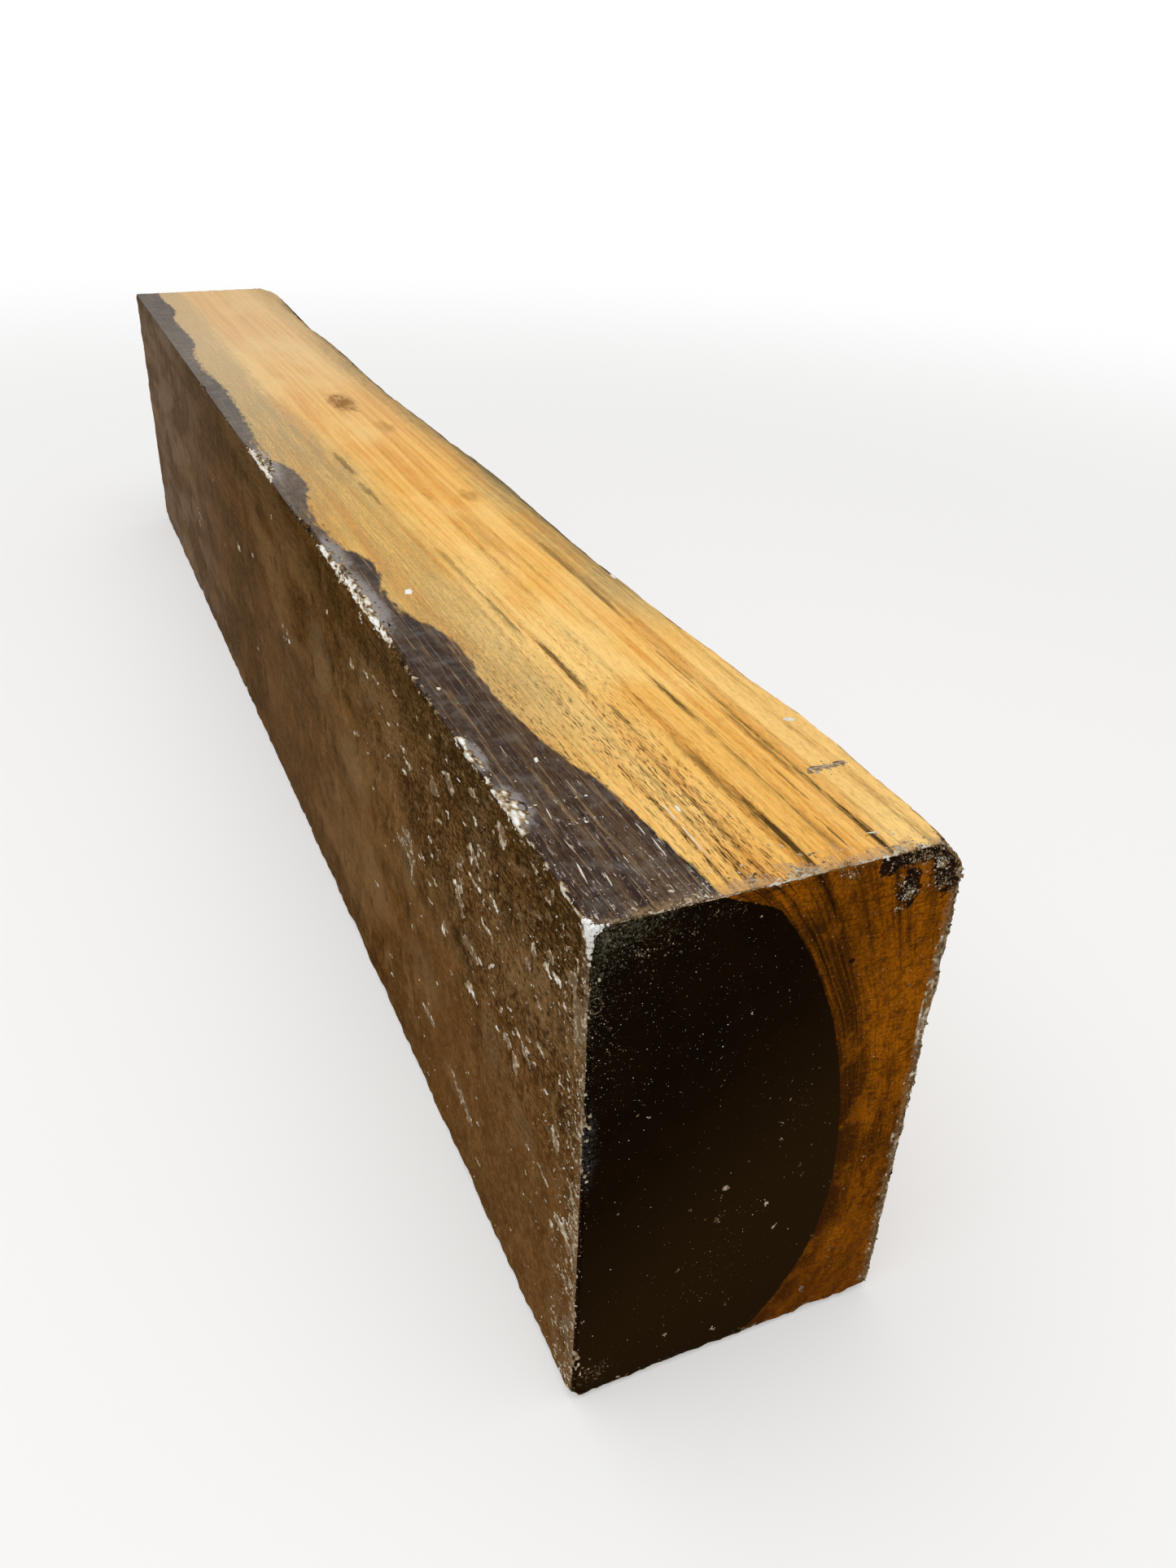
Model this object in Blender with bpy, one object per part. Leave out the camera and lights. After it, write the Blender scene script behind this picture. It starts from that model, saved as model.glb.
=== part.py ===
# A billet of lignum vitae: one piece of stock, sawn square on its sides and cut across at both
# ends. The saw missed one long corner, so the round outside of the log is left there.
# Metres, +Z up. +Y runs along the grain to the far end, and +X across to the waney corner.
# The origin is the middle of the face that the billet stands on.

import math

import bmesh
import bpy

# Sawn sizes. The cuts are rough ones: the side at +X leans in towards the foot, and the far
# end is out of square, shorter at -X
LENGTH = 0.635
WIDTH = 0.080
HEIGHT = 0.129
SIDE_LEAN = 0.0014
FAR_SKEW = 0.0060

# The waney corner, on top at +X: what the saw left off the top and off the side
WANE_ON_TOP = 0.0070
WANE_ON_SIDE = 0.0072
WANE_SWAY = 0.0025
WANE_FULLNESS = 1.06
# How the outside of the log wanders: (share of the length, share of the sway)
WANE_WANDER = (
    (0.0, 0.0),
    (0.016, -0.8),
    (0.079, -1.1),
    (0.126, -0.4),
    (0.19, 0.15),
    (0.283, 0.4),
    (0.378, -0.2),
    (0.472, 0.4),
    (0.59, 0.95),
    (0.748, 0.15),
    (0.806, 0.6),
    (0.976, -1.0),
    (1.0, 0.8),
)

# Sawn edges, eased a little by handling
EDGE_EASE = 0.0009
END_EASE = 0.0012
LOWER_EASE = 0.0028
ROUND_FULLNESS = 2.0
CHIPPED_FULLNESS = 1.5

# The bruised edge, on top at -X: worn stretches, each (start, end) as shares of the length
BRUISE_ON_TOP = 0.0020
BRUISE_ON_SIDE = 0.0030
BRUISES = ((0.16, 0.36), (0.41, 0.49))
BRUISE_FADE = 0.018

# The chipped edge, below at -X: small bites torn out along it. Each is (place as a share of
# the length, share of the full depth)
BITE_HEIGHT = 0.0024
BITE_WIDTH = 0.0020
BITE_REACH = 0.015
BITES = (
    (0.0, 1.0),
    (0.026, 0.7),
    (0.111, 0.7),
    (0.175, 0.4),
    (0.238, 0.6),
    (0.286, 0.8),
    (0.333, 0.6),
    (0.400, 0.4),
    (0.476, 0.4),
    (0.524, 0.6),
    (0.860, 0.6),
    (0.920, 0.8),
    (1.0, 1.0),
)

# Fineness of the mesh
STATION_STEP = 0.006
CORNER_STEPS = 5
WANE_STEPS = 10
END_STEPS = 2

# Colour as it shows over most of the piece: brown heartwood
HEARTWOOD = (0.150, 0.075, 0.036, 1.0)
WOOD_ROUGHNESS = 0.5


def clear_scene():
    for obj in list(bpy.data.objects):
        bpy.data.objects.remove(obj)


def ease(share):
    """A smooth step from 0 to 1."""
    share = min(max(share, 0.0), 1.0)
    return share * share * (3.0 - 2.0 * share)


def follow(knots, share):
    """The height, at this share of the length, of a smooth curve through the knots."""
    for (start, low), (end, high) in zip(knots, knots[1:]):
        if share <= end:
            return low + (high - low) * ease((share - start) / (end - start))
    return knots[-1][1]


def wane_at(share):
    """What the waney corner takes off the side and off the top."""
    on_top = WANE_ON_TOP + WANE_SWAY * follow(WANE_WANDER, share)
    return on_top * WANE_ON_SIDE / WANE_ON_TOP, on_top


def bruise_at(share):
    """What wear takes off the top and off the side at the bruised edge."""
    depth = 0.0
    for start, end in BRUISES:
        depth += ease((share - start) / BRUISE_FADE) * ease((end - share) / BRUISE_FADE)
    return EDGE_EASE + BRUISE_ON_TOP * depth, EDGE_EASE + BRUISE_ON_SIDE * depth


def bite_at(share):
    """What the bites take off the side and off the bottom at the chipped edge."""
    depth = 0.0
    for place, strength in BITES:
        away = abs(share - place) * LENGTH / BITE_REACH
        depth = max(depth, strength * ease(1.0 - away))
    return EDGE_EASE + BITE_HEIGHT * depth, EDGE_EASE + BITE_WIDTH * depth


def corner(at, arrive, leave, reach, fullness, steps=CORNER_STEPS):
    """Points round one corner of the section, from one side to the next.

    at is the sharp corner, arrive and leave are the directions of travel on its two sides,
    and reach is how far from it the curve starts and ends. A fullness of 1 is a flat
    chamfer, and 2 is a quarter of an ellipse.
    """
    points = []
    for step in range(steps + 1):
        angle = math.pi / 2 * step / steps
        back = reach[0] * (1.0 - math.sin(angle) ** (2.0 / fullness))
        forward = reach[1] * (1.0 - math.cos(angle) ** (2.0 / fullness))
        x = at[0] - arrive[0] * back + leave[0] * forward
        z = at[1] - arrive[1] * back + leave[1] * forward
        points.append((x, z))
    return points


def skew(x, share):
    """How far a point falls short along the grain, so that the far end is out of square."""
    longest = WIDTH / 2 - END_EASE
    return FAR_SKEW * (longest - x) / WIDTH * share


def section(share, inset):
    """The outline across the grain, anticlockwise as seen from the near end."""
    left = -WIDTH / 2 + inset
    right = WIDTH / 2 - inset
    foot = right - SIDE_LEAN
    top = HEIGHT - inset
    east, north, west, south = (1, 0), (0, 1), (-1, 0), (0, -1)
    lower = (LOWER_EASE, LOWER_EASE)
    return (
        corner((left, inset), south, east, bite_at(share), CHIPPED_FULLNESS)
        + corner((foot, inset), east, north, lower, ROUND_FULLNESS)
        + corner((right, top), north, west, wane_at(share), WANE_FULLNESS, WANE_STEPS)
        + corner((left, top), west, south, bruise_at(share), CHIPPED_FULLNESS)
    )


def stations():
    """(distance from the near end, inset) of each section: eased ends, even steps between."""
    near = []
    for step in range(END_STEPS + 1):
        angle = math.pi / 2 * step / END_STEPS
        near.append((END_EASE * (1.0 - math.cos(angle)), END_EASE * (1.0 - math.sin(angle))))
    far = [(LENGTH - along, inset) for along, inset in reversed(near)]
    clear = LENGTH - 2 * END_EASE
    count = max(1, round(clear / STATION_STEP))
    between = [(END_EASE + clear * step / count, 0.0) for step in range(1, count)]
    return near + between + far


def wood():
    material = bpy.data.materials.new("heartwood")
    material.use_nodes = True
    shader = material.node_tree.nodes["Principled BSDF"]
    shader.inputs["Base Color"].default_value = HEARTWOOD
    shader.inputs["Roughness"].default_value = WOOD_ROUGHNESS
    shader.inputs["Metallic"].default_value = 0.0
    return material


def billet():
    """A loft through the sections, with a flat cut across each end."""
    mesh = bmesh.new()
    rings = []
    for along, inset in stations():
        share = along / LENGTH
        y = along - LENGTH / 2
        outline = section(share, inset)
        rings.append([mesh.verts.new((x, y - skew(x, share), z)) for x, z in outline])
    for ring, after in zip(rings, rings[1:]):
        count = len(ring)
        for index in range(count):
            beside = (index + 1) % count
            mesh.faces.new((ring[index], ring[beside], after[beside], after[index]))
    mesh.faces.new(rings[0])
    mesh.faces.new(rings[-1])
    bmesh.ops.recalc_face_normals(mesh, faces=mesh.faces)
    data = bpy.data.meshes.new("lignum_vitae_block")
    mesh.to_mesh(data)
    mesh.free()
    data.materials.append(wood())
    block = bpy.data.objects.new("lignum_vitae_block", data)
    bpy.context.scene.collection.objects.link(block)


clear_scene()
billet()
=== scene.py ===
import math
import random
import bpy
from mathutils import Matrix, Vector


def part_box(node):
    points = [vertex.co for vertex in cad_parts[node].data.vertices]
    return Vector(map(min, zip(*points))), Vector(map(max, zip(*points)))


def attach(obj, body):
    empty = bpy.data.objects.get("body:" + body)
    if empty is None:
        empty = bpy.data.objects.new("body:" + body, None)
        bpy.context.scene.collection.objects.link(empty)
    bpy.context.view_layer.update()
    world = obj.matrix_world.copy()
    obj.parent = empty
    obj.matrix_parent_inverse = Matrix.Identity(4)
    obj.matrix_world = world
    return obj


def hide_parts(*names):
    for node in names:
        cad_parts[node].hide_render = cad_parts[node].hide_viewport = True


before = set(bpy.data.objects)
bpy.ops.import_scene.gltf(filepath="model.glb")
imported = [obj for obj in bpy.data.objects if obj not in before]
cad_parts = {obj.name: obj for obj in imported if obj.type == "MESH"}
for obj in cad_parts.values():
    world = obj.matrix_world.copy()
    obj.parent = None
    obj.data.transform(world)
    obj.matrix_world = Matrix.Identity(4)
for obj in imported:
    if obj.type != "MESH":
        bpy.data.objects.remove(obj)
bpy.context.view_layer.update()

from types import SimpleNamespace

import bmesh
import bpy
import numpy as np
from mathutils import Matrix, Vector, geometry, noise
from mathutils.bvhtree import BVHTree

# A rough-sawn billet of lignum vitae, standing on its narrow side. Metres, +Y along the grain to
# the far end, +X to the waney corner. Places on its faces are in mm: along from the near end,
# across from the left side, deep below the top.

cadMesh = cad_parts["lignum_vitae_block"].data
lowest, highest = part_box("lignum_vitae_block")
size = highest - lowest
mm = 0.001
sawnWide, sawnLong, sawnHigh = 80.0, 635.0, 129.0  # the billet in mm, for the finishes


def ease(share):
    share = np.clip(share, 0.0, 1.0)
    return share * share * (3.0 - 2.0 * share)


def between(value, start, end):
    return ease((value - start) / (end - start))


# Fractal noise, about -1 to 1. lumps is how long its lumps are along x, y and z, in mm
def rough(points, lumps, octaves, seed):
    scaled = np.asarray(points) / (np.array(lumps) * mm) + seed
    return np.array([noise.fractal(Vector(p), 1.0, 2.0, octaves) for p in scaled])


def makeMesh(name, points, faces):
    data = bpy.data.meshes.new(name)
    data.from_pydata([tuple(p) for p in points], [], faces)
    data.validate()
    data.shade_smooth()
    piece = bpy.data.objects.new(name, data)
    bpy.context.scene.collection.objects.link(piece)
    return piece


def paint(piece, name, kind, values):
    layer = piece.data.attributes.new(name, kind, "POINT")
    layer.data.foreach_set("vector" if kind == "FLOAT_VECTOR" else "value", np.ravel(values))


# The sawn wood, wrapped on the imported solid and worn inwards
billet = {
    "nearStep": 0.9,  # length of the mesh cells, in mm
    "farStep": 5.0,
    "baseCells": 44,
    "rightCells": 58,
    "topCells": 84,
    "leftCells": 112,
    "nearEndCell": 1.0,
    "farEndCell": 2.2,
    "leftRelief": 0.26,  # depth of the relief on each face, in mm
    "topRelief": 0.05,
    "rightRelief": 0.22,
    "baseRelief": 0.18,
    "endRelief": 0.05,
    "waneRelief": 0.40,
    "chips": 1.0,
}


# Where the stations stand, as distances from the near end: fine there, coarse at the far end
def stationPlaces(length):
    rim = [0.03 * mm, 0.25 * mm, 0.6 * mm, 1.1 * mm]
    places = list(rim)
    while places[-1] < length - 3.0 * mm:
        share = places[-1] / length
        step = billet["nearStep"] + (billet["farStep"] - billet["nearStep"]) * share
        places.append(places[-1] + step * mm)
    places[-1] = length - 2.2 * mm
    return places + [length - away for away in reversed(rim)]


# Points round the sawn rectangle, anticlockwise from the near end, closer towards its corners
def outlineTargets():
    low, high = lowest.xz, highest.xz
    corners = [(low.x, low.y), (high.x, low.y), (high.x, high.y), (low.x, high.y)]
    cells = [billet["baseCells"], billet["rightCells"], billet["topCells"], billet["leftCells"]]
    targets = []
    for index, count in enumerate(cells):
        start, end = np.array(corners[index]), np.array(corners[(index + 1) % 4])
        for step in range(count):
            share = step / count
            share -= 0.45 * math.sin(2 * math.pi * share) / (2 * math.pi)
            targets.append(start + (end - start) * share)
    return targets


# The far end is out of square: where it reaches furthest, and how fast it falls back from there
def farCut():
    rim = [v.co for v in cadMesh.vertices if v.co.y > highest.y - 20 * mm]
    right = max(rim, key=lambda co: co.y)
    left = max((co for co in rim if co.x < lowest.x + 3 * mm), key=lambda co: co.y)
    return right.x, (right.y - left.y) / (right.x - left.x)


def capPoints(ring, cell):
    centre = np.array([0.0, (lowest.z + highest.z) / 2])
    offsets = ring - centre
    angles = np.arctan2(offsets[:, 1], offsets[:, 0])
    order = np.argsort(angles)
    reach = np.hypot(offsets[:, 0], offsets[:, 1])[order]
    xs = np.arange(lowest.x, highest.x, cell * mm)
    zs = np.arange(lowest.z, highest.z, cell * mm)
    grid = np.array([(x + (row % 2) * cell * mm / 2, z) for row, z in enumerate(zs) for x in xs])
    away = grid - centre
    limit = np.interp(np.arctan2(away[:, 1], away[:, 0]), angles[order], reach, period=2 * math.pi)
    room = limit - np.hypot(away[:, 0], away[:, 1])
    return grid[room > cell * mm * 0.8]


# Triangles that close one end: the ring's own points round a grid
def capFaces(ring, inner, firstRing, firstInner, flip):
    flat = [Vector(p) for p in ring] + [Vector(p) for p in inner]
    rim = [(i, (i + 1) % len(ring)) for i in range(len(ring))]
    made, _, faces, sources, _, _ = geometry.delaunay_2d_cdt(flat, rim, [], 1, 1e-7)
    names = [s[0] for s in sources]
    index = [firstRing + n if n < len(ring) else firstInner + n - len(ring) for n in names]
    turned = []
    for face in faces:
        a, b, c = (made[i] for i in face)
        clockwise = (b - a).cross(c - a) < 0
        face = [index[i] for i in face]
        turned.append(face[::-1] if clockwise != flip else face)
    return turned


# How deep the wood is worn at each point of the solid, in metres
def wearAt(points, normals):
    along = points[:, 1] - lowest.y
    across = points[:, 0] - lowest.x
    deep = highest.z - points[:, 2]
    left = between(-normals[:, 0], 0.6, 0.95)
    right = between(normals[:, 0], 0.75, 0.99)
    top = between(normals[:, 2], 0.75, 0.99)
    base = between(-normals[:, 2], 0.6, 0.95)
    ends = between(np.abs(normals[:, 1]), 0.6, 0.95)
    wane = np.minimum(between(normals[:, 0], 0.1, 0.4), between(normals[:, 2], 0.1, 0.4))
    chatter = rough(points, (40, 60, 40), 2, 3.1)

    # left side: torn fibres, shallow pits and the saw's cross marks
    lumps = rough(points, (6, 7, 9), 4, 11.3)
    torn = rough(points, (3, 3.2, 3.6), 3, 5.7)
    pits = between(rough(points, (8, 7, 10), 3, 21.9), 0.10, 0.55)
    saw = np.sin((along + 0.22 * deep) / (3.3 * mm) * 2 * math.pi + 2.5 * chatter)
    leftDepth = 0.38 + billet["leftRelief"] * (0.9 * lumps + 0.6 * torn + 1.3 * pits + 0.14 * saw)

    # top: planed by a finer saw, long low ridges
    ridges = rough(points, (1.6, 34, 2), 3, 8.2)
    waves = rough(points, (9, 26, 9), 2, 2.4)
    topDepth = 0.13 + billet["topRelief"] * (0.9 * ridges + 0.8 * waves)

    # right side and base: coarse saw marks
    fuzz = rough(points, (3, 8, 3), 3, 14.6)
    slabs = rough(points, (16, 30, 22), 3, 31.0)
    coarse = np.sin((along - 0.16 * deep) / (4.6 * mm) * 2 * math.pi + 3.0 * chatter)
    rightDepth = 0.42 + billet["rightRelief"] * (0.8 * fuzz + 0.8 * slabs + 0.45 * coarse)
    strokes = np.sin((along + 0.1 * across) / (3.9 * mm) * 2 * math.pi + 3.0 * chatter)
    baseDepth = 0.30 + billet["baseRelief"] * (0.8 * fuzz + 0.7 * slabs + 0.5 * strokes)

    # ends: cut across, then dipped in wax
    dimples = rough(points, (3.4, 3.4, 3.4), 3, 17.2)
    kerf = np.sin((deep + 0.35 * across) / (3.1 * mm) * 2 * math.pi + 2.0 * chatter)
    endDepth = 0.22 + billet["endRelief"] * (1.2 * dimples + 0.2 * kerf)

    # waney corner: the outside of the log, with remains of bark
    scales = rough(points, (5, 13, 5), 4, 27.5)
    waneDepth = 0.40 + billet["waneRelief"] * (0.8 * scales + 0.5 * between(scales, 0.0, 0.15))

    depth = np.full(len(points), 0.25)
    faces = ((left, leftDepth), (right, rightDepth), (top, topDepth), (base, baseDepth),
             (ends, endDepth), (wane, waneDepth))
    for share, wanted in faces:
        depth = depth + (wanted - depth) * share

    # chipped edges: bites that fade a few mm away from each edge
    nicks = rough(points, (2.6, 4.2, 2.6), 3, 40.3)
    bites = rough(points, (7, 10, 7), 2, 52.8)
    for edgeAcross, edgeDeep in ((0, 0), (0, size.z), (size.x, size.z)):
        near = 1.0 - between(np.hypot(across - edgeAcross, deep - edgeDeep), 0.6 * mm, 3.4 * mm)
        bite = 0.42 * between(nicks, 0.0, 0.5) + 0.55 * between(bites, 0.15, 0.6)
        depth += billet["chips"] * near * bite
    endEdge = 1.0 - between(along, 0.4 * mm, 2.2 * mm)
    sideEdge = 1.0 - between(np.minimum(size.x - across, size.z - deep), 0.6 * mm, 3.0 * mm)
    depth += billet["chips"] * endEdge * sideEdge * (0.30 + 0.55 * nicks)
    return np.maximum(depth, 0.03) * mm


def makeBillet():
    solid = BVHTree.FromPolygons([v.co for v in cadMesh.vertices],
                                 [p.vertices for p in cadMesh.polygons])
    furthest, slope = farCut()
    length = size.y
    targets = outlineTargets()
    places = stationPlaces(length)
    middle = (lowest.z + highest.z) / 2
    around = len(targets)

    def stationY(place, x):
        return lowest.y + place - slope * (furthest - x) * place / length

    points, normals = [], []
    for place in places:
        origin = Vector((0.0, stationY(place, 0.0), middle))
        for x, z in targets:
            target = Vector((x, stationY(place, x), z))
            hit, normal, _, _ = solid.ray_cast(origin, target - origin)
            if hit is None:
                hit, normal, _, _ = solid.find_nearest(origin.lerp(target, 0.97))
            points.append(hit)
            normals.append(normal if (hit - origin).dot(normal) > 0 else -normal)
    points, normals = np.array(points), np.array(normals)

    # round the normals over the edges a little, so that wear turns with them
    for _ in range(2):
        rows = normals.reshape(len(places), around, 3)
        rows = rows + 0.5 * (np.roll(rows, 1, axis=1) + np.roll(rows, -1, axis=1))
        normals = (rows / np.linalg.norm(rows, axis=2, keepdims=True)).reshape(-1, 3)

    faces = []
    for station in range(len(places) - 1):
        a, b = station * around, (station + 1) * around
        for index in range(around):
            beside = (index + 1) % around
            faces.append((a + index, a + beside, b + beside, b + index))

    ends = ((0, billet["nearEndCell"], -1), (len(places) - 1, billet["farEndCell"], 1))
    for station, cell, facing in ends:
        first = station * around
        ring = points[first:first + around][:, [0, 2]]
        inner = capPoints(ring, cell)
        firstInner = len(points)
        place = 0.0 if facing < 0 else length
        caps = np.array([(x, stationY(place, x), z) for x, z in inner])
        points = np.vstack([points, caps])
        normals = np.vstack([normals, np.tile((0.0, facing, 0.0), (len(caps), 1))])
        faces += capFaces(ring, inner, first, firstInner, facing > 0)

    depth = wearAt(points, normals)
    worn = points - normals * depth[:, None]
    worn = np.clip(worn, np.array(lowest) + 1e-5, np.array(highest) - 1e-5)
    piece = makeMesh("sawnBillet", worn, faces)
    paint(piece, "sawnSide", "FLOAT_VECTOR", normals)
    paint(piece, "hollow", "FLOAT", depth / mm)
    return piece, BVHTree.FromPolygons([Vector(p) for p in worn], faces)


block, woodSurface = makeBillet()
print("billet:", len(block.data.vertices), "vertices,", len(block.data.polygons), "faces")

# The billet's corners, and the ways from them
nearTopLeft = Vector((lowest.x, lowest.y, highest.z))
nearTopRight = Vector((highest.x, lowest.y, highest.z))
nearBaseLeft = Vector((lowest.x, lowest.y, lowest.z))
farTopRight = Vector((highest.x, highest.y, highest.z))
toRight, toLeft = Vector((1, 0, 0)), Vector((-1, 0, 0))
toFar, toNear = Vector((0, 1, 0)), Vector((0, -1, 0))
up, down = Vector((0, 0, 1)), Vector((0, 0, -1))
leaning = Vector((-0.011, 0, -1))  # down the right side, which leans in towards the foot
cutFrom, cutSlope = farCut()
farRun = Vector((1, cutSlope, 0))
farTopLeft = Vector((lowest.x, highest.y - cutSlope * (cutFrom - lowest.x), highest.z))

# The billet's faces as flat sheets: a corner, the ways that a and b run, the way out, and how far
# below the sheet the wood may lie, in mm
sides = {
    "left": (nearTopLeft, toFar, down, toLeft, 4),
    "top": (nearTopLeft, toFar, toRight, up, 9),
    "near": (nearTopLeft, toRight, down, toNear, 4),
    "far": (Vector((lowest.x, highest.y, highest.z)), toRight, down, toFar, 9),
}
# Its edges: a start, the way along, and the ways from it across the one face and across the other
edges = {
    "topLeft": (nearTopLeft, toFar, down, toRight),
    "nearTop": (nearTopLeft, toRight, down, toFar),
    "nearLeft": (nearTopLeft, down, toRight, toFar),
    "nearRight": (nearTopRight, leaning, toLeft, toFar),
    "nearBase": (nearBaseLeft, toRight, up, toFar),
    "farTop": (farTopLeft, farRun, down, toNear),
    "farLeft": (farTopLeft, down, farRun, toNear),
    "farRight": (farTopRight, leaning, -farRun, toNear),
}


# The place on the wood under a and b of a side, and the way out of it. On an edge, a is the
# distance along it, and b is the distance from it, below 0 on its first face
def spotOn(where, a, b):
    if where in sides:
        corner, runA, runB, out, slack = sides[where]
        target = corner + (runA * a + runB * b) * mm
    else:
        corner, run, one, two = edges[where]
        foot = corner + run * a * mm
        target = foot + (one * -b if b < 0 else two * b) * mm
        out, slack = (target - foot - (one + two) * 6 * mm).normalized(), 5
    hit, _, _, _ = woodSurface.ray_cast(target + out * 20 * mm, -out)
    if hit is None or (target - hit).dot(out) > slack * mm:
        return None
    return hit, out


def seat(where, a, b, lift):
    spot = spotOn(where, a, b)
    return spot and spot[0] + spot[1] * lift * mm


def newHeap():
    return {"points": [], "faces": [], "tones": []}


def addToHeap(heap, points, faces, tones):
    first = len(heap["points"])
    heap["points"] += [tuple(p) for p in points]
    heap["faces"] += [tuple(first + i for i in face) for face in faces]
    heap["tones"] += tones if isinstance(tones, list) else [tones] * len(points)


# A grid over a side or an edge, with its points shifted a little at random
def makeGrid(fromA, toA, stepA, fromB, toB, stepB, seed):
    a, b = np.meshgrid(np.arange(fromA, toA, stepA), np.arange(fromB, toB, stepB), indexing="ij")
    shifts = np.random.default_rng(seed).uniform(-0.32, 0.32, (2,) + a.shape)
    return a + shifts[0] * stepA, b + shifts[1] * stepB


# Fractal noise over a grid, about -1 to 1
def pattern(a, b, longA, longB, octaves, seed):
    flat = zip((a / longA).ravel() + seed, (b / longB).ravel() - seed)
    heights = [noise.fractal(Vector((p, q, seed)), 1.0, 2.0, octaves) for p, q in flat]
    return np.array(heights).reshape(a.shape)


# Bell-shaped patches added together: each is (a, b, half width along a, along b, amount)
def patchwork(a, b, patches):
    total = np.zeros(a.shape)
    for atA, atB, longA, longB, amount in patches:
        total += amount * np.exp(-((a - atA) / longA) ** 2 - ((b - atB) / longB) ** 2)
    return total


# A thin ragged coat on the wood: the cells of a grid where cover is above 0. thick is in mm
def addFilm(heap, where, a, b, cover, thick, tone):
    kept = (cover[:-1, :-1] + cover[1:, :-1] + cover[:-1, 1:] + cover[1:, 1:]) > 0
    corners = ((0, 0), (1, 0), (1, 1), (0, 1))

    def cellsRound():
        count = np.zeros(a.shape, int)
        for i, j in corners:
            count[i:i + kept.shape[0], j:j + kept.shape[1]] += kept
        return count

    spots = {}
    for i, j in np.argwhere(cellsRound() > 0).tolist():
        spots[i, j] = spotOn(where, a[i, j], b[i, j])
    for i, j in np.argwhere(kept).tolist():
        kept[i, j] = all(spots[i + u, j + v] for u, v in corners)
    count = cellsRound()
    number, points, tones, faces = {}, [], [], []
    for i, j in np.argwhere(count > 0).tolist():
        place, out = spots[i, j]
        lift = max(thick[i, j], 0.02) if count[i, j] == 4 else -0.05
        number[i, j] = len(points)
        points.append(place + out * lift * mm)
        tones.append(float(tone[i, j]))
    for i, j in np.argwhere(kept).tolist():
        faces.append([number[i + u, j + v] for u, v in corners])
    if faces:
        first, second, third = (points[n] for n in faces[0][:3])
        if (second - first).cross(third - second).dot(out) < 0:
            faces = [face[::-1] for face in faces]
        addToHeap(heap, points, faces, tones)


# A flat ragged flake that follows the wood under it
def addFlake(heap, side, a, b, length, width, turn, thick, tone, rng, corners=12):
    rings = ((1.0, -0.05), (0.86, thick * 0.8), (0.45, thick * rng.uniform(0.9, 1.2)))
    ragged = [rng.uniform(0.62, 1.12) for _ in range(corners)]
    points = []
    for reach, lift in rings:
        for corner in range(corners):
            angle = 2 * math.pi * corner / corners
            u = math.cos(angle) * ragged[corner] * reach * length / 2
            v = math.sin(angle) * ragged[corner] * reach * width / 2
            shiftA = u * math.cos(turn) - v * math.sin(turn)
            shiftB = u * math.sin(turn) + v * math.cos(turn)
            points.append(seat(side, a + shiftA, b + shiftB, lift)
                          or seat(side, a + shiftA * 0.3, b + shiftB * 0.3, lift))
    points.append(seat(side, a, b, thick))
    if None in points:
        return
    faces = [tuple(range(corners))[::-1]]
    for corner in range(corners):
        beside = (corner + 1) % corners
        for low in (0, corners):
            high = low + corners
            faces.append((low + corner, low + beside, high + beside, high + corner))
        faces.append((2 * corners + corner, 2 * corners + beside, 3 * corners))
    addToHeap(heap, points, faces, tone)


pebbles = {}


def pebble(detail):
    if detail not in pebbles:
        ball = bmesh.new()
        bmesh.ops.create_icosphere(ball, subdivisions=detail, radius=1.0)
        pebbles[detail] = ([v.co.copy() for v in ball.verts],
                           [[v.index for v in f.verts] for f in ball.faces])
        ball.free()
    return pebbles[detail]


# A lumpy crumb. reach is its half size along x, y and z, in mm
def addLump(heap, centre, reach, tone, rng, detail, ragged):
    shape, faces = pebble(detail)
    shift = Vector((rng.uniform(-50, 50), rng.uniform(-50, 50), rng.uniform(-50, 50)))
    axis = Vector((rng.gauss(0, 1), rng.gauss(0, 1), rng.gauss(0, 1)))
    spin = Matrix.Rotation(rng.uniform(0, 6.3), 3, axis)
    points = []
    for co in shape:
        swell = 1.0 + ragged * noise.fractal(co * 1.3 + shift, 1.0, 2.0, 3)
        local = spin @ co * swell * mm
        points.append(centre + Vector((local.x * reach[0], local.y * reach[1], local.z * reach[2])))
    addToHeap(heap, points, faces, tone)


# A crumb pressed into the wood at a place on a side or an edge
def dropCrumb(heap, where, a, b, part, tone, rng, sink=0.3):
    place = seat(where, a, b, -part * sink)
    if place is not None:
        reach = [part * rng.uniform(0.6, 1.1) for _ in range(3)]
        addLump(heap, place, reach, tone, rng, 1, 0.8)


# Many small crumbs and few large ones, in mm
def crumbSize(rng, small, large):
    return small + (large - small) * rng.random() ** 4


def finishHeap(heap, name, material):
    points = np.clip(heap["points"], np.array(lowest) + 2e-5, np.array(highest) - 2e-5)
    piece = makeMesh(name, points, heap["faces"])
    paint(piece, "tone", "FLOAT", heap["tones"])
    piece.data.materials.append(material)
    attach(piece, "root")
    print(name + ":", sum(len(face) - 2 for face in heap["faces"]), "triangles")


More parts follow.
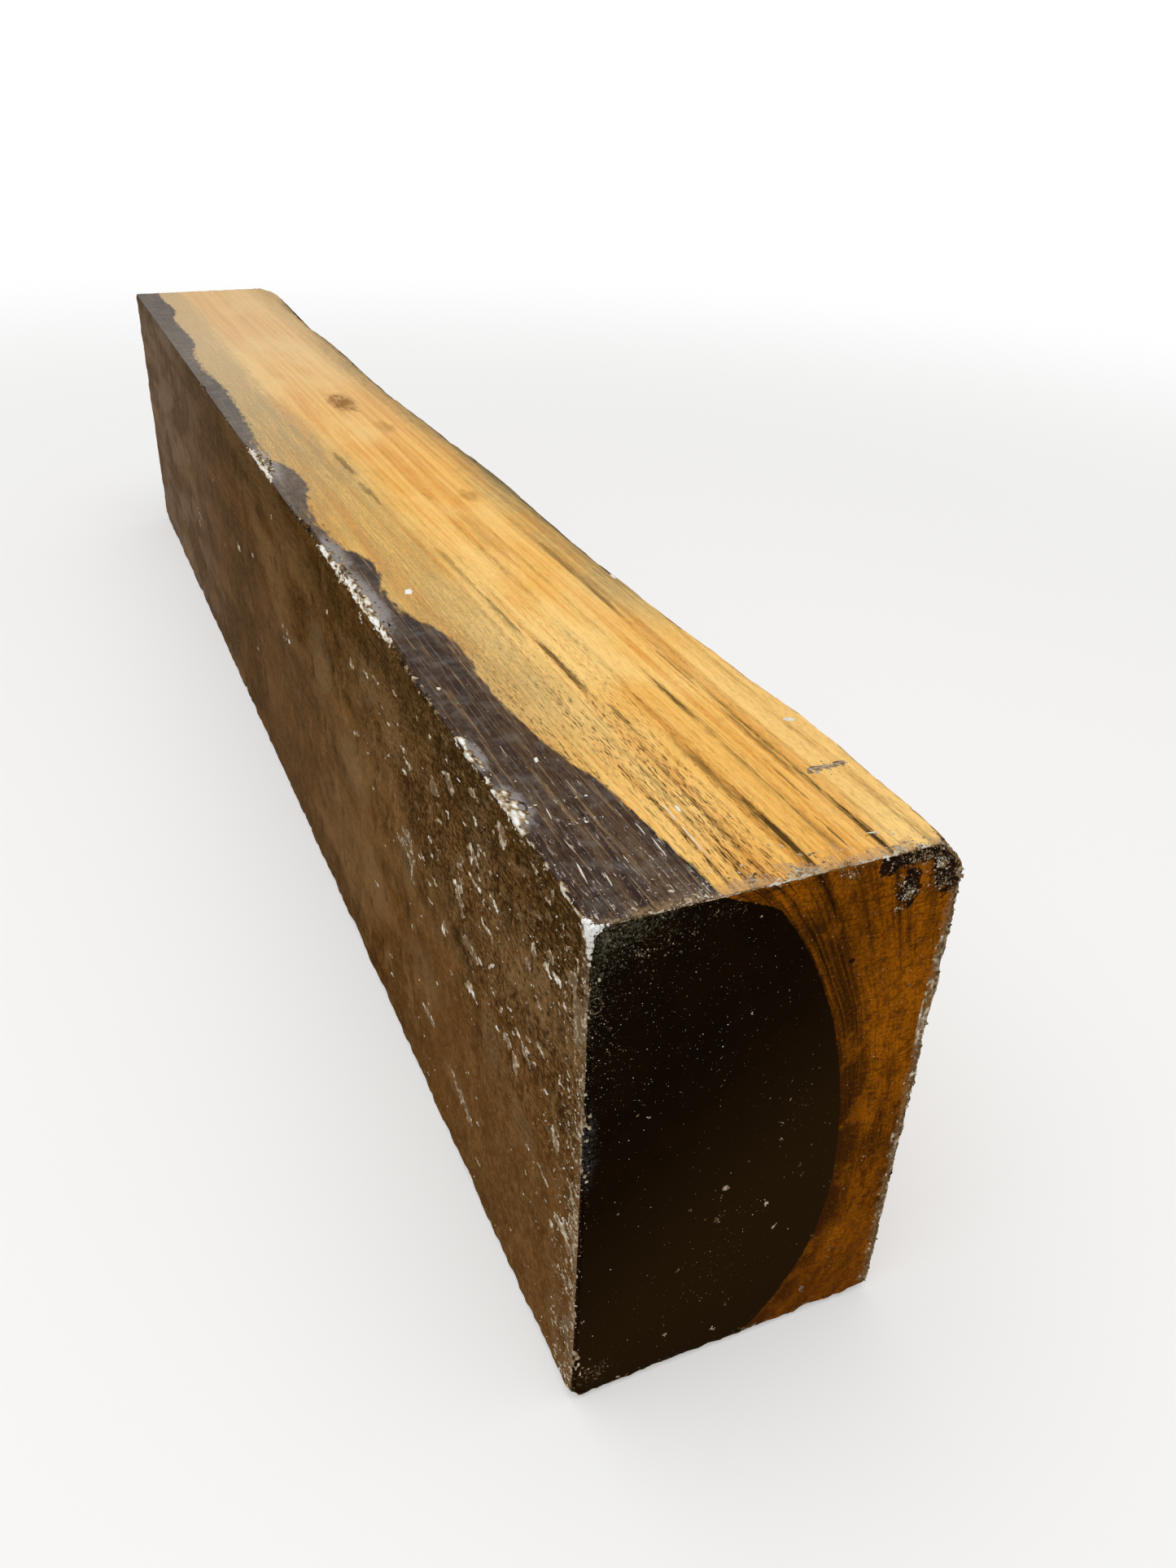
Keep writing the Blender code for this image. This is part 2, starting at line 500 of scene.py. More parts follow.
# Wraps a value socket. An expression on it adds its Math nodes
class Flow:
    def __init__(self, sheet, socket):
        self.sheet = sheet
        self.socket = socket

    def math(self, operation, *others):
        values = dict(enumerate((self,) + others))
        return self.sheet.flow("ShaderNodeMath", {"operation": operation}, values)

    def __add__(self, other):
        return self.math("ADD", other)

    def __sub__(self, other):
        return self.math("SUBTRACT", other)

    def __mul__(self, other):
        return self.math("MULTIPLY", other)

    def __truediv__(self, other):
        return self.math("DIVIDE", other)

    def __pow__(self, other):
        return self.math("POWER", other)

    def __rsub__(self, other):
        return (self * -1.0).math("ADD", other)

    __radd__ = __add__
    __rmul__ = __mul__

    # 0 at start, 1 at end, smooth between. start may be the higher of the two
    def step(self, start, end):
        turned = start > end
        values = {"Value": self, "From Min": min(start, end), "From Max": max(start, end),
                  "To Min": 1.0 if turned else 0.0, "To Max": 0.0 if turned else 1.0}
        settings = {"interpolation_type": "SMOOTHSTEP"}
        return self.sheet.flow("ShaderNodeMapRange", settings, values)


class Sheet:
    def __init__(self, tree):
        self.tree = tree
        self.shader = tree.nodes.get("Principled BSDF")

    # Every node comes from here: its settings are set first, then its sockets' values or links
    def node(self, kind, settings=None, values=None):
        made = self.tree.nodes.new(kind)
        for name, setting in (settings or {}).items():
            if name == "stops":
                ramp = made.color_ramp
                while len(ramp.elements) < len(setting):
                    ramp.elements.new(0.5)
                for element, (position, colour) in zip(ramp.elements, setting):
                    element.position = position
                    element.color = colour
            elif name == "curve":
                line = made.mapping.curves[0]
                while len(line.points) < len(setting):
                    line.points.new(0.5, 0.5)
                for point, place in zip(line.points, setting):
                    point.location = place
                made.mapping.update()
            else:
                setattr(made, name, setting)
        for name, value in (values or {}).items():
            self.put(made.inputs[name], value)
        return made

    def put(self, socket, value):
        if isinstance(value, Flow):
            value = value.socket
        if isinstance(value, bpy.types.NodeSocket):
            self.tree.links.new(value, socket)
        else:
            socket.default_value = value

    # A node that gives a value, wrapped for expressions
    def flow(self, kind, settings, values, output=0):
        return Flow(self, self.node(kind, settings, values).outputs[output])

    def parts(self, vector):
        split = self.node("ShaderNodeSeparateXYZ", None, {0: vector}).outputs
        return [Flow(self, split[i]) for i in range(3)]

    # The place on the piece, in mm
    def place(self):
        coords = self.node("ShaderNodeTexCoord").outputs["Object"]
        values = {0: coords, "Scale": 1000.0}
        scaled = self.node("ShaderNodeVectorMath", {"operation": "SCALE"}, values)
        return self.parts(scaled.outputs[0])

    def attribute(self, name, output="Fac"):
        return self.node("ShaderNodeAttribute", {"attribute_name": name}).outputs[output]

    # Noise from 0 to 1 about 0.5, at x, y and z
    def noise(self, x, y, z, detail=3.0, roughness=0.55):
        vector = self.node("ShaderNodeCombineXYZ", None, {0: x, 1: y, 2: z}).outputs[0]
        values = {"Vector": vector, "Scale": 1.0, "Detail": detail, "Roughness": roughness}
        return self.flow("ShaderNodeTexNoise", {"noise_dimensions": "3D"}, values, "Fac")

    def mix(self, share, low, high):
        settings = {"data_type": "RGBA", "blend_type": "MIX", "clamp_factor": True}
        made = self.node("ShaderNodeMix", settings)
        sockets = [s for s in made.inputs if s.enabled]
        for socket, value in zip(sockets, (share, low, high)):
            self.put(socket, value)
        return [s for s in made.outputs if s.enabled][0]

    # Colours laid over a first one, each by its own share
    def layers(self, colour, coats):
        for share, coat in coats:
            colour = self.mix(share, colour, coat)
        return colour

    def bump(self, height, strength, distance):
        values = {"Height": height, "Strength": strength, "Distance": distance}
        return self.node("ShaderNodeBump", None, values).outputs[0]


def newMaterial(name):
    material = bpy.data.materials.new(name)
    material.use_nodes = True
    return material, Sheet(material.node_tree)


# A colour as it looks on a screen, 0 to 255, turned to the shader's own values
def seen(red, green, blue):
    def linear(level):
        level /= 255.0
        return level / 12.92 if level <= 0.04045 else ((level + 0.055) / 1.055) ** 2.4
    return (linear(red), linear(green), linear(blue), 1.0)


# The wood itself. The heartwood is an oval on a cross section, and the rings follow it
woodLook = {
    "heartAcross": 61.3,  # half size of the oval, in mm
    "heartAbove": 100.0,
    "heartBelow": 60.0,
    "heartDeep": 85.0,  # how deep its middle lies
    # where the heartwood ends on the top: (mm along, mm across)
    "heartEdge": (
        (0, 25.5), (20, 24), (40, 22), (58, 18), (75, 16), (95, 15.2), (110, 16.5), (130, 13),
        (153, 9), (173, 12), (190, 7.5), (215, 5.6), (240, 8.3), (260, 11), (275, 9), (292, 5),
        (325, 6.5), (380, 8.4), (400, 8.4), (430, 6), (455, 6.5), (498, 11), (545, 10), (576, 14),
        (602, 12.5), (635, 13),
    ),
    # dark streaks in the sapwood: (mm across on the top, strength, mm wide)
    "streaks": (
        (28.5, 0.5, 1.2), (32.0, 0.7, 1.2), (35.6, 0.8, 1.4), (44.6, 1.0, 1.9), (52.6, 0.7, 1.5),
        (61.6, 1.0, 1.2), (64.4, 0.6, 1.2), (70.9, 0.5, 1.6),
    ),
    # brown spots on the top: (mm along, mm across, half length, half width, strength)
    "spots": (
        (356, 48, 18, 6, 0.8), (315, 55, 10, 4, 0.35), (226, 58, 8, 4, 0.4), (190, 50, 30, 3, 0.3),
        (140, 63, 12, 2.5, 0.4),
    ),
    # dark strokes in the sapwood's grain: (mm along, mm across, half length, half width, strength)
    "strokes": (
        (14, 45.2, 22, 0.9, 0.9), (40, 44.2, 14, 1.3, 0.55), (9, 61.8, 16, 0.9, 0.95),
        (45, 60.2, 22, 0.7, 0.6), (72, 52.6, 13, 0.9, 0.75), (86, 60.6, 14, 0.6, 0.5),
        (30, 57.2, 12, 0.5, 0.6), (10, 55.0, 7, 0.5, 0.7), (66, 37.4, 12, 0.6, 0.6),
        (96, 35.4, 20, 1.1, 0.7), (130, 32.8, 20, 1.0, 0.6), (166, 32.6, 20, 1.2, 0.4),
        (131, 62.0, 12, 1.0, 0.55), (160, 62.4, 26, 1.4, 0.5), (238, 28.0, 14, 1.6, 0.5),
        (272, 28.3, 18, 1.7, 0.6),
    ),
    # soot on the near end: (mm across, mm deep, half width, half height)
    "soots": (
        (77.5, 5.0, 6.5, 8.5), (69.5, 0.5, 10.0, 3.0), (66.8, 9.0, 2.3, 4.4), (60.8, 2.8, 2.2, 2.0),
    ),
    # stains on the left side: (mm along, mm deep, half length, half height)
    "paleMarks": (
        (122, 22, 9, 10), (112, 56, 8, 8), (50, 66, 6, 10), (30, 75, 8, 5), (75, 103, 9, 4),
        (102, 86, 14, 7), (55, 18, 7, 10), (7, 114, 8, 10), (146, 20, 13, 7), (165, 60, 14, 10),
        (150, 88, 12, 12), (205, 40, 16, 12),
    ),
    "darkMarks": (
        (90, 40, 3, 6), (107, 42, 3, 6), (125, 8, 7, 4), (110, 15, 4, 8), (27, 53, 5, 3),
        (68, 55, 8, 5), (78, 9, 9, 4), (16, 8, 10, 4), (58, 72, 3, 4), (22, 94, 6, 3),
        (150, 32, 5, 5), (172, 110, 6, 5),
    ),
    # brighter places in the near end's sapwood: (mm across, mm deep, half width, half height)
    "glows": ((70, 33, 7, 9), (68, 105, 9, 7)),
    # wax rubbed over the top beside the left edge: (mm along, mm across, half length, half width)
    "rubs": (
        (41, 2.2, 9, 3.2), (63, 1.6, 8, 2.4), (150, 3.0, 24, 4.0), (188, 3.4, 16, 3.6),
        (280, 3.4, 22, 4.2),
    ),
    "stainPale": seen(138, 114, 82),
    "stainDark": seen(44, 30, 15),
    "heartTop": seen(88, 68, 50),
    "heartTopLight": seen(142, 114, 80),
    "heartTopDark": seen(50, 38, 36),
    "heartSide": seen(104, 72, 34),
    "heartSideLight": seen(158, 122, 78),
    "heartSideDark": seen(46, 29, 12),
    "heartSideWarm": seen(124, 80, 36),
    "heartTopPores": seen(34, 26, 26),
    # grey of smears on the heartwood of the top, and of a painted sheen towards the far end
    "heartTopGreySheen": seen(138, 133, 126),
    # painted shade near the top of the left side
    "heartSideUpperShade": seen(66, 48, 18),
    "heartSideMiddle": seen(140, 110, 80),
    "heartSideLower": seen(128, 88, 48),
    "heartSideFar": seen(128, 108, 90),
    "heartEnd": seen(18, 9, 1),
    "heartEndLight": seen(24, 12, 2),
    "heartEndLower": seen(42, 27, 8),
    "heartEndGrit": seen(52, 40, 24),
    "sapTop": seen(242, 190, 102),
    "sapTopWarm": seen(218, 142, 56),
    "sapPale": seen(252, 214, 138),
    # painted sheen: the paler, greyer sapwood towards the far end of the top
    "sapFarSheen": seen(222, 196, 160),
    "sapDull": seen(166, 143, 98),
    "sapWaxy": seen(184, 146, 106),
    "sapSide": seen(206, 158, 92),
    "sapSideWarm": seen(168, 112, 52),
    "sapSideBrown": seen(142, 92, 42),
    "sapSideDark": seen(120, 80, 40),
    # painted shade in the worn hollows of the sapwood sides
    "sapSideHollowShade": seen(106, 74, 40),
    "sapSidePatch": seen(122, 96, 62),
    "sapSideSoiled": seen(92, 74, 50),
    "sapEnd": seen(107, 57, 4),
    "sapEndLight": seen(178, 102, 8),
    "sapEndDark": seen(54, 27, 3),
    "sapEndInner": seen(80, 41, 6),
    "sapEndShade": seen(50, 27, 5),
    "sapEndSoiled": seen(64, 36, 9),
    "sapEndFoot": seen(96, 50, 12),
    "ringLine": seen(30, 15, 4),
    "fineLine": seen(26, 13, 4),
    "olive": seen(68, 56, 24),
    # greyish-green of the sapwood near the bark, and painted shade of the roll-over into the wane
    "oliveStainAndShade": seen(140, 122, 88),
    "darkStreak": seen(46, 36, 18),
    "spot": seen(126, 82, 42),
    # painted shade in the worn hollows of the heartwood sides
    "hollowShade": seen(42, 26, 12),
    # painted shade in the cracks of the rough sides
    "crackShadows": seen(26, 16, 7),
    "bloom": seen(150, 130, 112),
    "baseSoiled": seen(84, 66, 46),
    "bark": seen(92, 86, 62),
    "barkDark": seen(38, 36, 26),
    "wax": seen(226, 216, 204),
    "waxRubbed": seen(176, 172, 170),
    "rimWax": seen(150, 124, 92),
    "rimDark": seen(62, 46, 32),
    "film": seen(150, 130, 100),
    "soot": seen(14, 12, 9),
    "moss": seen(74, 70, 54),
    # painted sheen: a grey streak by the left edge of the near end, standing in for a reflection
    "paintedSheen": seen(98, 97, 96),
    "ashen": seen(128, 102, 70),
    "roughness": 0.62,
    "coatRoughness": 0.18,
    "coatIor": 1.3,
}


# How far out from the pith a place on the top lies, as a share of the heartwood's oval
def outOnTop(across):
    look = woodLook
    return math.hypot(across / look["heartAcross"], look["heartDeep"] / look["heartAbove"])


# How far a place lies from the middle of the nearest oval: 1 on its rim. Each oval is (a, b, half
# size along a, half size along b)
def nearestOval(a, b, ovals):
    nearest = None
    for atA, atB, wide, high in ovals:
        u, v = (a - atA) / wide, (b - atB) / high
        reach = u * u + v * v
        nearest = nearest.math("MINIMUM", reach) if nearest else reach
    return nearest


# Everything in the wood that the faces share: masks, places and noise, drawn out along the grain
def readWood(sheet):
    look = woodLook
    wood = SimpleNamespace()
    x, y, z = sheet.place()
    nx, ny, nz = sheet.parts(sheet.attribute("sawnSide", "Vector"))
    hollow = Flow(sheet, sheet.attribute("hollow"))
    wood.hollow = hollow
    wood.onTop = nz.step(0.72, 0.95)
    wood.onEnd = (ny * ny).step(0.4, 0.8)
    wood.onBase = nz.step(-0.6, -0.9)
    wood.onWane = nx.step(0.12, 0.4) * nz.step(0.12, 0.4)
    across = x + nx * hollow + sawnWide / 2
    along = y + sawnLong / 2
    deep = sawnHigh - z - nz * hollow
    wood.across, wood.along, wood.deep = across, along, deep

    sway = sheet.noise(x / 26.0, y / 150.0, z / 26.0, 2.0, 0.5)
    wood.sway = sway
    wood.haze = sheet.noise(x / 30.0, y / 85.0, z / 30.0)
    wood.patch = sheet.noise(x / 20.0, y / 52.0, z / 15.0)
    wood.blotch = sheet.noise(x / 7.0, y / 9.0, z / 9.0)
    wood.threads = sheet.noise(x / 0.55, y / 24.0, z / 0.55, 4.0, 0.65)
    wood.fibres = sheet.noise(x / 0.42, y / 3.4, z / 0.42, 4.0, 0.62)
    wood.tufts = sheet.noise(x / 1.2, y / 1.7, z / 2.0, 5.0, 0.68)
    wood.mottle = sheet.noise(x / 9.0, (y + z * 0.12) / 7.5, z / 11.0, 4.0, 0.60)
    wood.dashes = sheet.noise(x / 0.27, y / 2.8, z / 0.27, 2.0, 0.5).step(0.55, 0.63)
    wood.grit = sheet.noise(x / 0.75, y / 1.3, z / 0.75, 4.0, 0.65)
    wood.dirt = sheet.noise(x / 3.0, y / 6.0, z / 3.0, 4.0, 0.65)
    wood.pores = sheet.noise(x / 0.36, y / 4.2, z / 0.36, 2.0, 0.5).step(0.56, 0.66)
    wood.relief = sheet.noise(x / 1.2, y / 1.7, z / 1.9, 5.0, 0.68)
    wood.ripples = sheet.noise(x / 1.7, y / 1.7, z / 1.7, 3.0, 0.5)
    wood.smear = sheet.noise(x / 4.5, y / 4.5, z / 4.5, 4.0, 0.65)
    wood.hatch = sheet.noise(x / 3.0, y / 3.0, z / 0.45, 4.0, 0.65)

    # how far out from the pith: 1 at the edge of the heartwood on the near end
    rise = (look["heartDeep"] - deep).math("MAXIMUM", 0.0) / look["heartAbove"]
    fall = (deep - look["heartDeep"]).math("MAXIMUM", 0.0) / look["heartBelow"]
    wide = across / look["heartAcross"]
    tall = rise + fall
    out = (wide * wide + tall * tall) ** 0.5
    angle = (rise - fall).math("ARCTAN2", wide)
    furthest = 30.0  # mm across: more than the heartwood's edge ever reaches
    knots = [(a / sawnLong, edge / furthest) for a, edge in look["heartEdge"]]
    edge = sheet.flow("ShaderNodeFloatCurve", {"curve": knots}, {"Value": along / sawnLong})
    edge = edge * (furthest / look["heartAcross"])
    limit = (edge * edge + (look["heartDeep"] / look["heartAbove"]) ** 2) ** 0.5
    limit = 1.0 + (limit - 1.0) * deep.step(7.0, 0.0)
    fray = sheet.noise(x / 1.3, y / 6.0, z / 1.3, 3.0, 0.6) - 0.5
    wood.heart = (limit - out + fray * 0.014).step(-0.0025, 0.0025)

    # rings: they follow the oval and draw together lower down
    spread = (out - 1.0) * (1.0 + 0.009 * deep.math("MINIMUM", 45.0))
    drift = spread + (sway - 0.5) * 0.045
    wood.spread = spread
    wood.fineRings = sheet.noise(drift * 150.0, angle * 2.4, y / 60.0, 4.0, 0.62)
    wood.midRings = sheet.noise(drift * 42.0, angle * 1.3, y / 150.0)
    wood.broken = sheet.noise(drift * 90.0, angle * 9.0, y / 9.0, 3.0, 0.62)
    spans = sheet.noise(drift * 60.0, angle * 2.0, y / 34.0, 3.0, 0.55).step(0.42, 0.56)
    wood.glow = sheet.noise(drift * 8.0, angle * 4.6, y / 12.0, 4.0, 0.6)
    wood.strands = sheet.noise(drift * 110.0, angle * 10.0, y / 12.0, 4.0, 0.62)
    jitter = wood.midRings * 9.0 + wood.broken * 1.6
    wood.lines = (drift * 290.0 + jitter).math("SINE").step(0.30, 0.92)

    # dark streaks in the sapwood: a ramp from the left edge of the top to its right edge
    first, last = outOnTop(0.0) - 1.0, outOnTop(sawnWide) - 1.0
    stops = [(0.0, (0, 0, 0, 1))]
    for place, strength, width in look["streaks"]:
        for reach, tone in ((-width, 0.04), (0.0, strength), (width, 0.04)):
            share = (outOnTop(place + reach) - 1.0 - first) / (last - first)
            stops.append((share, (tone, tone, tone, 1)))
    place = spread + (sway - 0.5) * 0.016 + (wood.threads - 0.5) * 0.012
    place = (place - first) / (last - first)
    wood.rings = sheet.flow("ShaderNodeValToRGB", {"stops": stops}, {"Fac": place})
    streak = wood.rings * wood.broken.step(0.32, 0.52)
    streak = streak * (0.4 + 0.6 * wood.fibres.step(0.36, 0.52))
    wood.streak = streak * (0.2 + 0.8 * spans)
    return wood


# Top: planed sapwood with dark streaks, and a strip of heartwood beside the left edge
def topColour(sheet, wood):
    look, along, across, haze, dirt = woodLook, wood.along, wood.across, wood.haze, wood.dirt
    threads, fibres, grit = wood.threads, wood.fibres, wood.grit
    smear, broken, sway = wood.smear, wood.broken, wood.sway
    near = along.step(110.0, 8.0)
    crisp = 0.45 + 0.55 * along.step(260.0, 30.0)
    outer = (across + (haze - 0.5) * 6.0).step(61.0, 66.0) * along.step(115.0, 70.0)
    dull = across + (haze - 0.5) * 8.0 + (dirt - 0.5) * 8.0 + (threads - 0.5) * 6.0
    dull = (dull + along.step(260.0, 360.0) * 7.0).step(37.0, 24.0) * along.step(25.0, 95.0)
    sandy = 0.17 + 0.17 * grit.step(0.60, 0.42) + 0.20 * fibres.step(0.58, 0.42)
    sandy = sandy + 0.30 * threads.step(0.60, 0.44)
    sap = sheet.layers(look["sapTop"], (
        (wood.midRings.step(0.40, 0.66) * 0.75, look["sapTopWarm"]),
        (haze.step(0.42, 0.68) * 0.7, look["sapPale"]),
        (wood.fineRings.step(0.50, 0.66) * crisp * 0.6, look["sapTopWarm"]),
        (threads.step(0.52, 0.74) * crisp * 0.4, look["sapPale"]),
        (outer * 0.6, look["sapPale"]),
        (wood.rings * haze.step(0.58, 0.40) * 0.45, look["sapTopWarm"]),
        (wood.streak * (0.25 + 0.40 * along.step(300.0, 60.0) + 0.35 * near), look["olive"]),
        (dull * sandy * (1.0 + along.step(200.0, 420.0)), look["sapDull"]),
    ))
    for atAlong, atAcross, long, wide, strength in look["strokes"]:
        u = (along - atAlong) / long
        v = (across - atAcross + (sway - 0.5) * 1.5 + (threads - 0.5) * 1.6) / wide
        stroke = (u * u + v * v + (broken - 0.5) * 2.4 + (fibres - 0.5) * 2.0).step(1.0, 0.1)
        sap = sheet.mix(stroke * strength, sap, look["darkStreak"])
    inner = across.step(50.0, 34.0)
    dashes = wood.dashes * wood.midRings.step(0.36, 0.50)
    dashes = dashes * (0.06 + (0.20 + 0.65 * inner) * along.step(180.0, 20.0))
    waxy = (along + (smear - 0.5) * 26.0 + (grit - 0.5) * 6.0).step(5.0, 1.5)
    sap = sheet.layers(sap, (
        (dashes, look["darkStreak"]),
        (wood.lines * fibres.step(0.44, 0.58) * near * inner * 0.6, look["darkStreak"]),
        (waxy * 0.65, look["sapWaxy"]),
        # painted sheen: the sapwood turns paler and greyer towards the far end, standing in for
        # glare at the grazing view
        (along.step(180.0, 520.0) * 0.6, look["sapFarSheen"]),
    ))

    # smudges: a small knot and brown spots
    for atAlong, atAcross, long, wide, strength in look["spots"]:
        u = (along - atAlong) / long
        v = (across - atAcross + (sway - 0.5) * 6.0) / wide
        spot = (u * u + v * v + (broken - 0.5) * 2.0 + (dirt - 0.5) * 1.6).step(1.1, -0.1)
        sap = sheet.mix(spot * strength, sap, look["spot"])

    # olive stain towards the waney corner, darkened there as painted shade of the top rolling over
    # into the wane, and bark
    # partly real olive colour near the bark, partly painted shade where the top rolls over into the
    # wane
    stainAndShade = (across + (haze - 0.5) * 14.0 + (dirt - 0.5) * 8.0).step(58.0, 72.0)
    stainAndShade = stainAndShade * along.step(90.0, 150.0) * (1.0 - 0.5 * along.step(430.0, 520.0))
    rim = (across + (broken - 0.5) * 3.5).step(69.5, 73.5)
    rim = rim * along.step(130.0, 200.0) * along.step(600.0, 560.0)
    sap = sheet.layers(sap, (
        (stainAndShade * (0.5 + 0.4 * threads.step(0.4, 0.6)), look["oliveStainAndShade"]),
        (rim * 0.75, look["bark"]),
    ))

    # heartwood with the grain's lighter lines, the scratches of handling and rubbed wax, and a
    # painted sheen that greys it towards the far end
    scratch = fibres.step(0.58, 0.68) * dirt.step(0.38, 0.60) * along.step(85.0, 2.0)
    # painted sheen: the heartwood greys towards the far end, standing in for a reflection at the
    # grazing view
    far = along.step(40.0, 460.0) * (0.50 + 0.14 * haze.step(0.36, 0.62))
    rubbed = nearestOval(along, across, look["rubs"]) + (smear - 0.5) * 2.2 + (grit - 0.5) * 1.4
    heart = sheet.layers(look["heartTopDark"], (
        (wood.midRings.step(0.36, 0.60), look["heartTop"]),
        (wood.fineRings.step(0.42, 0.66) * 0.6, look["heartTopDark"]),
        (threads.step(0.50, 0.68) * 0.75, look["heartTopLight"]),
        (wood.pores * 0.55, look["heartTopPores"]),
        (scratch * 0.8, look["wax"]),
        (smear.step(0.40, 0.75) * 0.25 + far, look["heartTopGreySheen"]),
        (rubbed.step(1.3, 0.1) * 0.5, look["waxRubbed"]),
    ))
    return sheet.mix(wood.heart, sap, heart)


# Rough sawn sides: dull heartwood on the left and below, dull sapwood on the right
def sideColour(sheet, wood):
    look, along, deep, hollow = woodLook, wood.along, wood.deep, wood.hollow
    fibres, threads, grit, tufts = wood.fibres, wood.threads, wood.grit, wood.tufts
    dirt, mottle, patch = wood.dirt, wood.mottle, wood.patch
    rugged = (deep + (wood.haze - 0.5) * 80.0).step(75.0, 15.0) * along.step(240.0, 60.0)
    rugged = 0.30 + rugged * 0.65 + along.step(130.0, 20.0) * 0.30
    lower = deep.step(45.0, 90.0) * along.step(200.0, 60.0)
    blotched = 0.45 + 0.55 * along.step(300.0, 140.0)
    ragged = (dirt - 0.5) * 2.4 + (mottle - 0.5) * 2.8 + (grit - 0.5) * 1.4
    onLeft = wood.across.step(24.0, 12.0)
    pale = (nearestOval(along, deep, look["paleMarks"]) + ragged).step(1.4, 0.3) * onLeft
    dark = (nearestOval(along, deep, look["darkMarks"]) + ragged).step(1.2, 0.4) * onLeft
    # painted shade: dark where the relief noise, which also raises the bump, is low, standing in
    # for shadows in cracks
    crackShadows = wood.relief.step(0.41, 0.33) * wood.blotch.step(0.40, 0.52) * rugged
    film = (dirt * 0.6 + grit * 0.4).step(0.53, 0.64) * along.step(230.0, 6.0)
    middle = along.step(150.0, 210.0) * along.step(345.0, 290.0) * deep.step(38.0, 62.0)
    bloom = (patch * 0.7 + mottle * 0.3).step(0.42, 0.60) * along.step(340.0, 560.0)
    heart = sheet.layers(look["heartSideDark"], (
        (dirt.step(0.36, 0.60) * 0.5 + 0.35 + lower * 0.28, look["heartSide"]),
        (patch.step(0.44, 0.64) * 0.55, look["heartSideWarm"]),
        (mottle.step(0.50, 0.70) * blotched * 0.50, look["heartSideLight"]),
        (mottle.step(0.48, 0.30) * blotched * (0.50 - 0.2 * lower), look["heartSideDark"]),
        (wood.midRings.step(0.44, 0.62) * along.step(120.0, 300.0) * 0.35, look["heartSideDark"]),
        (pale * 0.42, look["stainPale"]),
        (dark * 0.62, look["stainDark"]),
        (grit.step(0.53, 0.64) * rugged * 0.62, look["heartSideLight"]),
        (grit.step(0.48, 0.38) * rugged * 0.75, look["heartSideDark"]),
        (wood.haze.step(0.50, 0.66) * 0.4, look["heartSideLight"]),
        (tufts.step(0.53, 0.66) * rugged * 0.60, look["heartSideLight"]),
        (tufts.step(0.48, 0.36) * rugged * 0.9, look["heartSideDark"]),
        (fibres.step(0.54, 0.66) * rugged * 0.5, look["heartSideLight"]),
        (fibres.step(0.48, 0.35) * rugged * 0.8, look["heartSideDark"]),
        # painted shade: the two layers below darken the left side and its grain lines towards its
        # top
        (threads.step(0.52, 0.36) * (0.15 + 0.6 * deep.step(30.0, 4.0)), look["heartSideDark"]),
        (deep.step(34.0, 2.0) * 0.4, look["heartSideUpperShade"]),
        # painted shade: darker where the wood is worn deepest, for the shadows in its hollows
        (hollow.step(0.50, 0.90) * 0.45, look["hollowShade"]),
        # painted shade in the cracks
        (crackShadows * 0.85, look["crackShadows"]),
        (film * 0.35, look["film"]),
        (lower * 0.34, look["heartSideLower"]),
        (middle * 0.20, look["heartSideMiddle"]),
        (along.step(180.0, 600.0) * 0.44, look["heartSideFar"]),
        (bloom * 0.42, look["bloom"]),
    ))
    sap = sheet.layers(look["sapSide"], (
        (wood.midRings.step(0.4, 0.62), look["sapSideWarm"]),
        (wood.fineRings.step(0.52, 0.66) * 0.5, look["sapSideBrown"]),
        (fibres.step(0.50, 0.68) * 0.45, look["sapPale"]),
        (fibres.step(0.49, 0.34) * 0.65, look["sapSideDark"]),
        (wood.streak * 0.8, look["olive"]),
        # painted shade: darker where the wood is worn deepest, for the shadows in its hollows
        (hollow.step(0.45, 0.95) * 0.5, look["sapSideHollowShade"]),
        (patch.step(0.52, 0.70) * 0.45, look["sapSidePatch"]),
        (wood.smear.step(0.56, 0.76) * dirt.step(0.44, 0.6) * 0.5, look["sapSideSoiled"]),
    ))
    return sheet.layers(sap, (
        (wood.heart, heart),
        (wood.onBase * dirt.step(0.5, 0.66) * 0.4, look["baseSoiled"]),
    ))


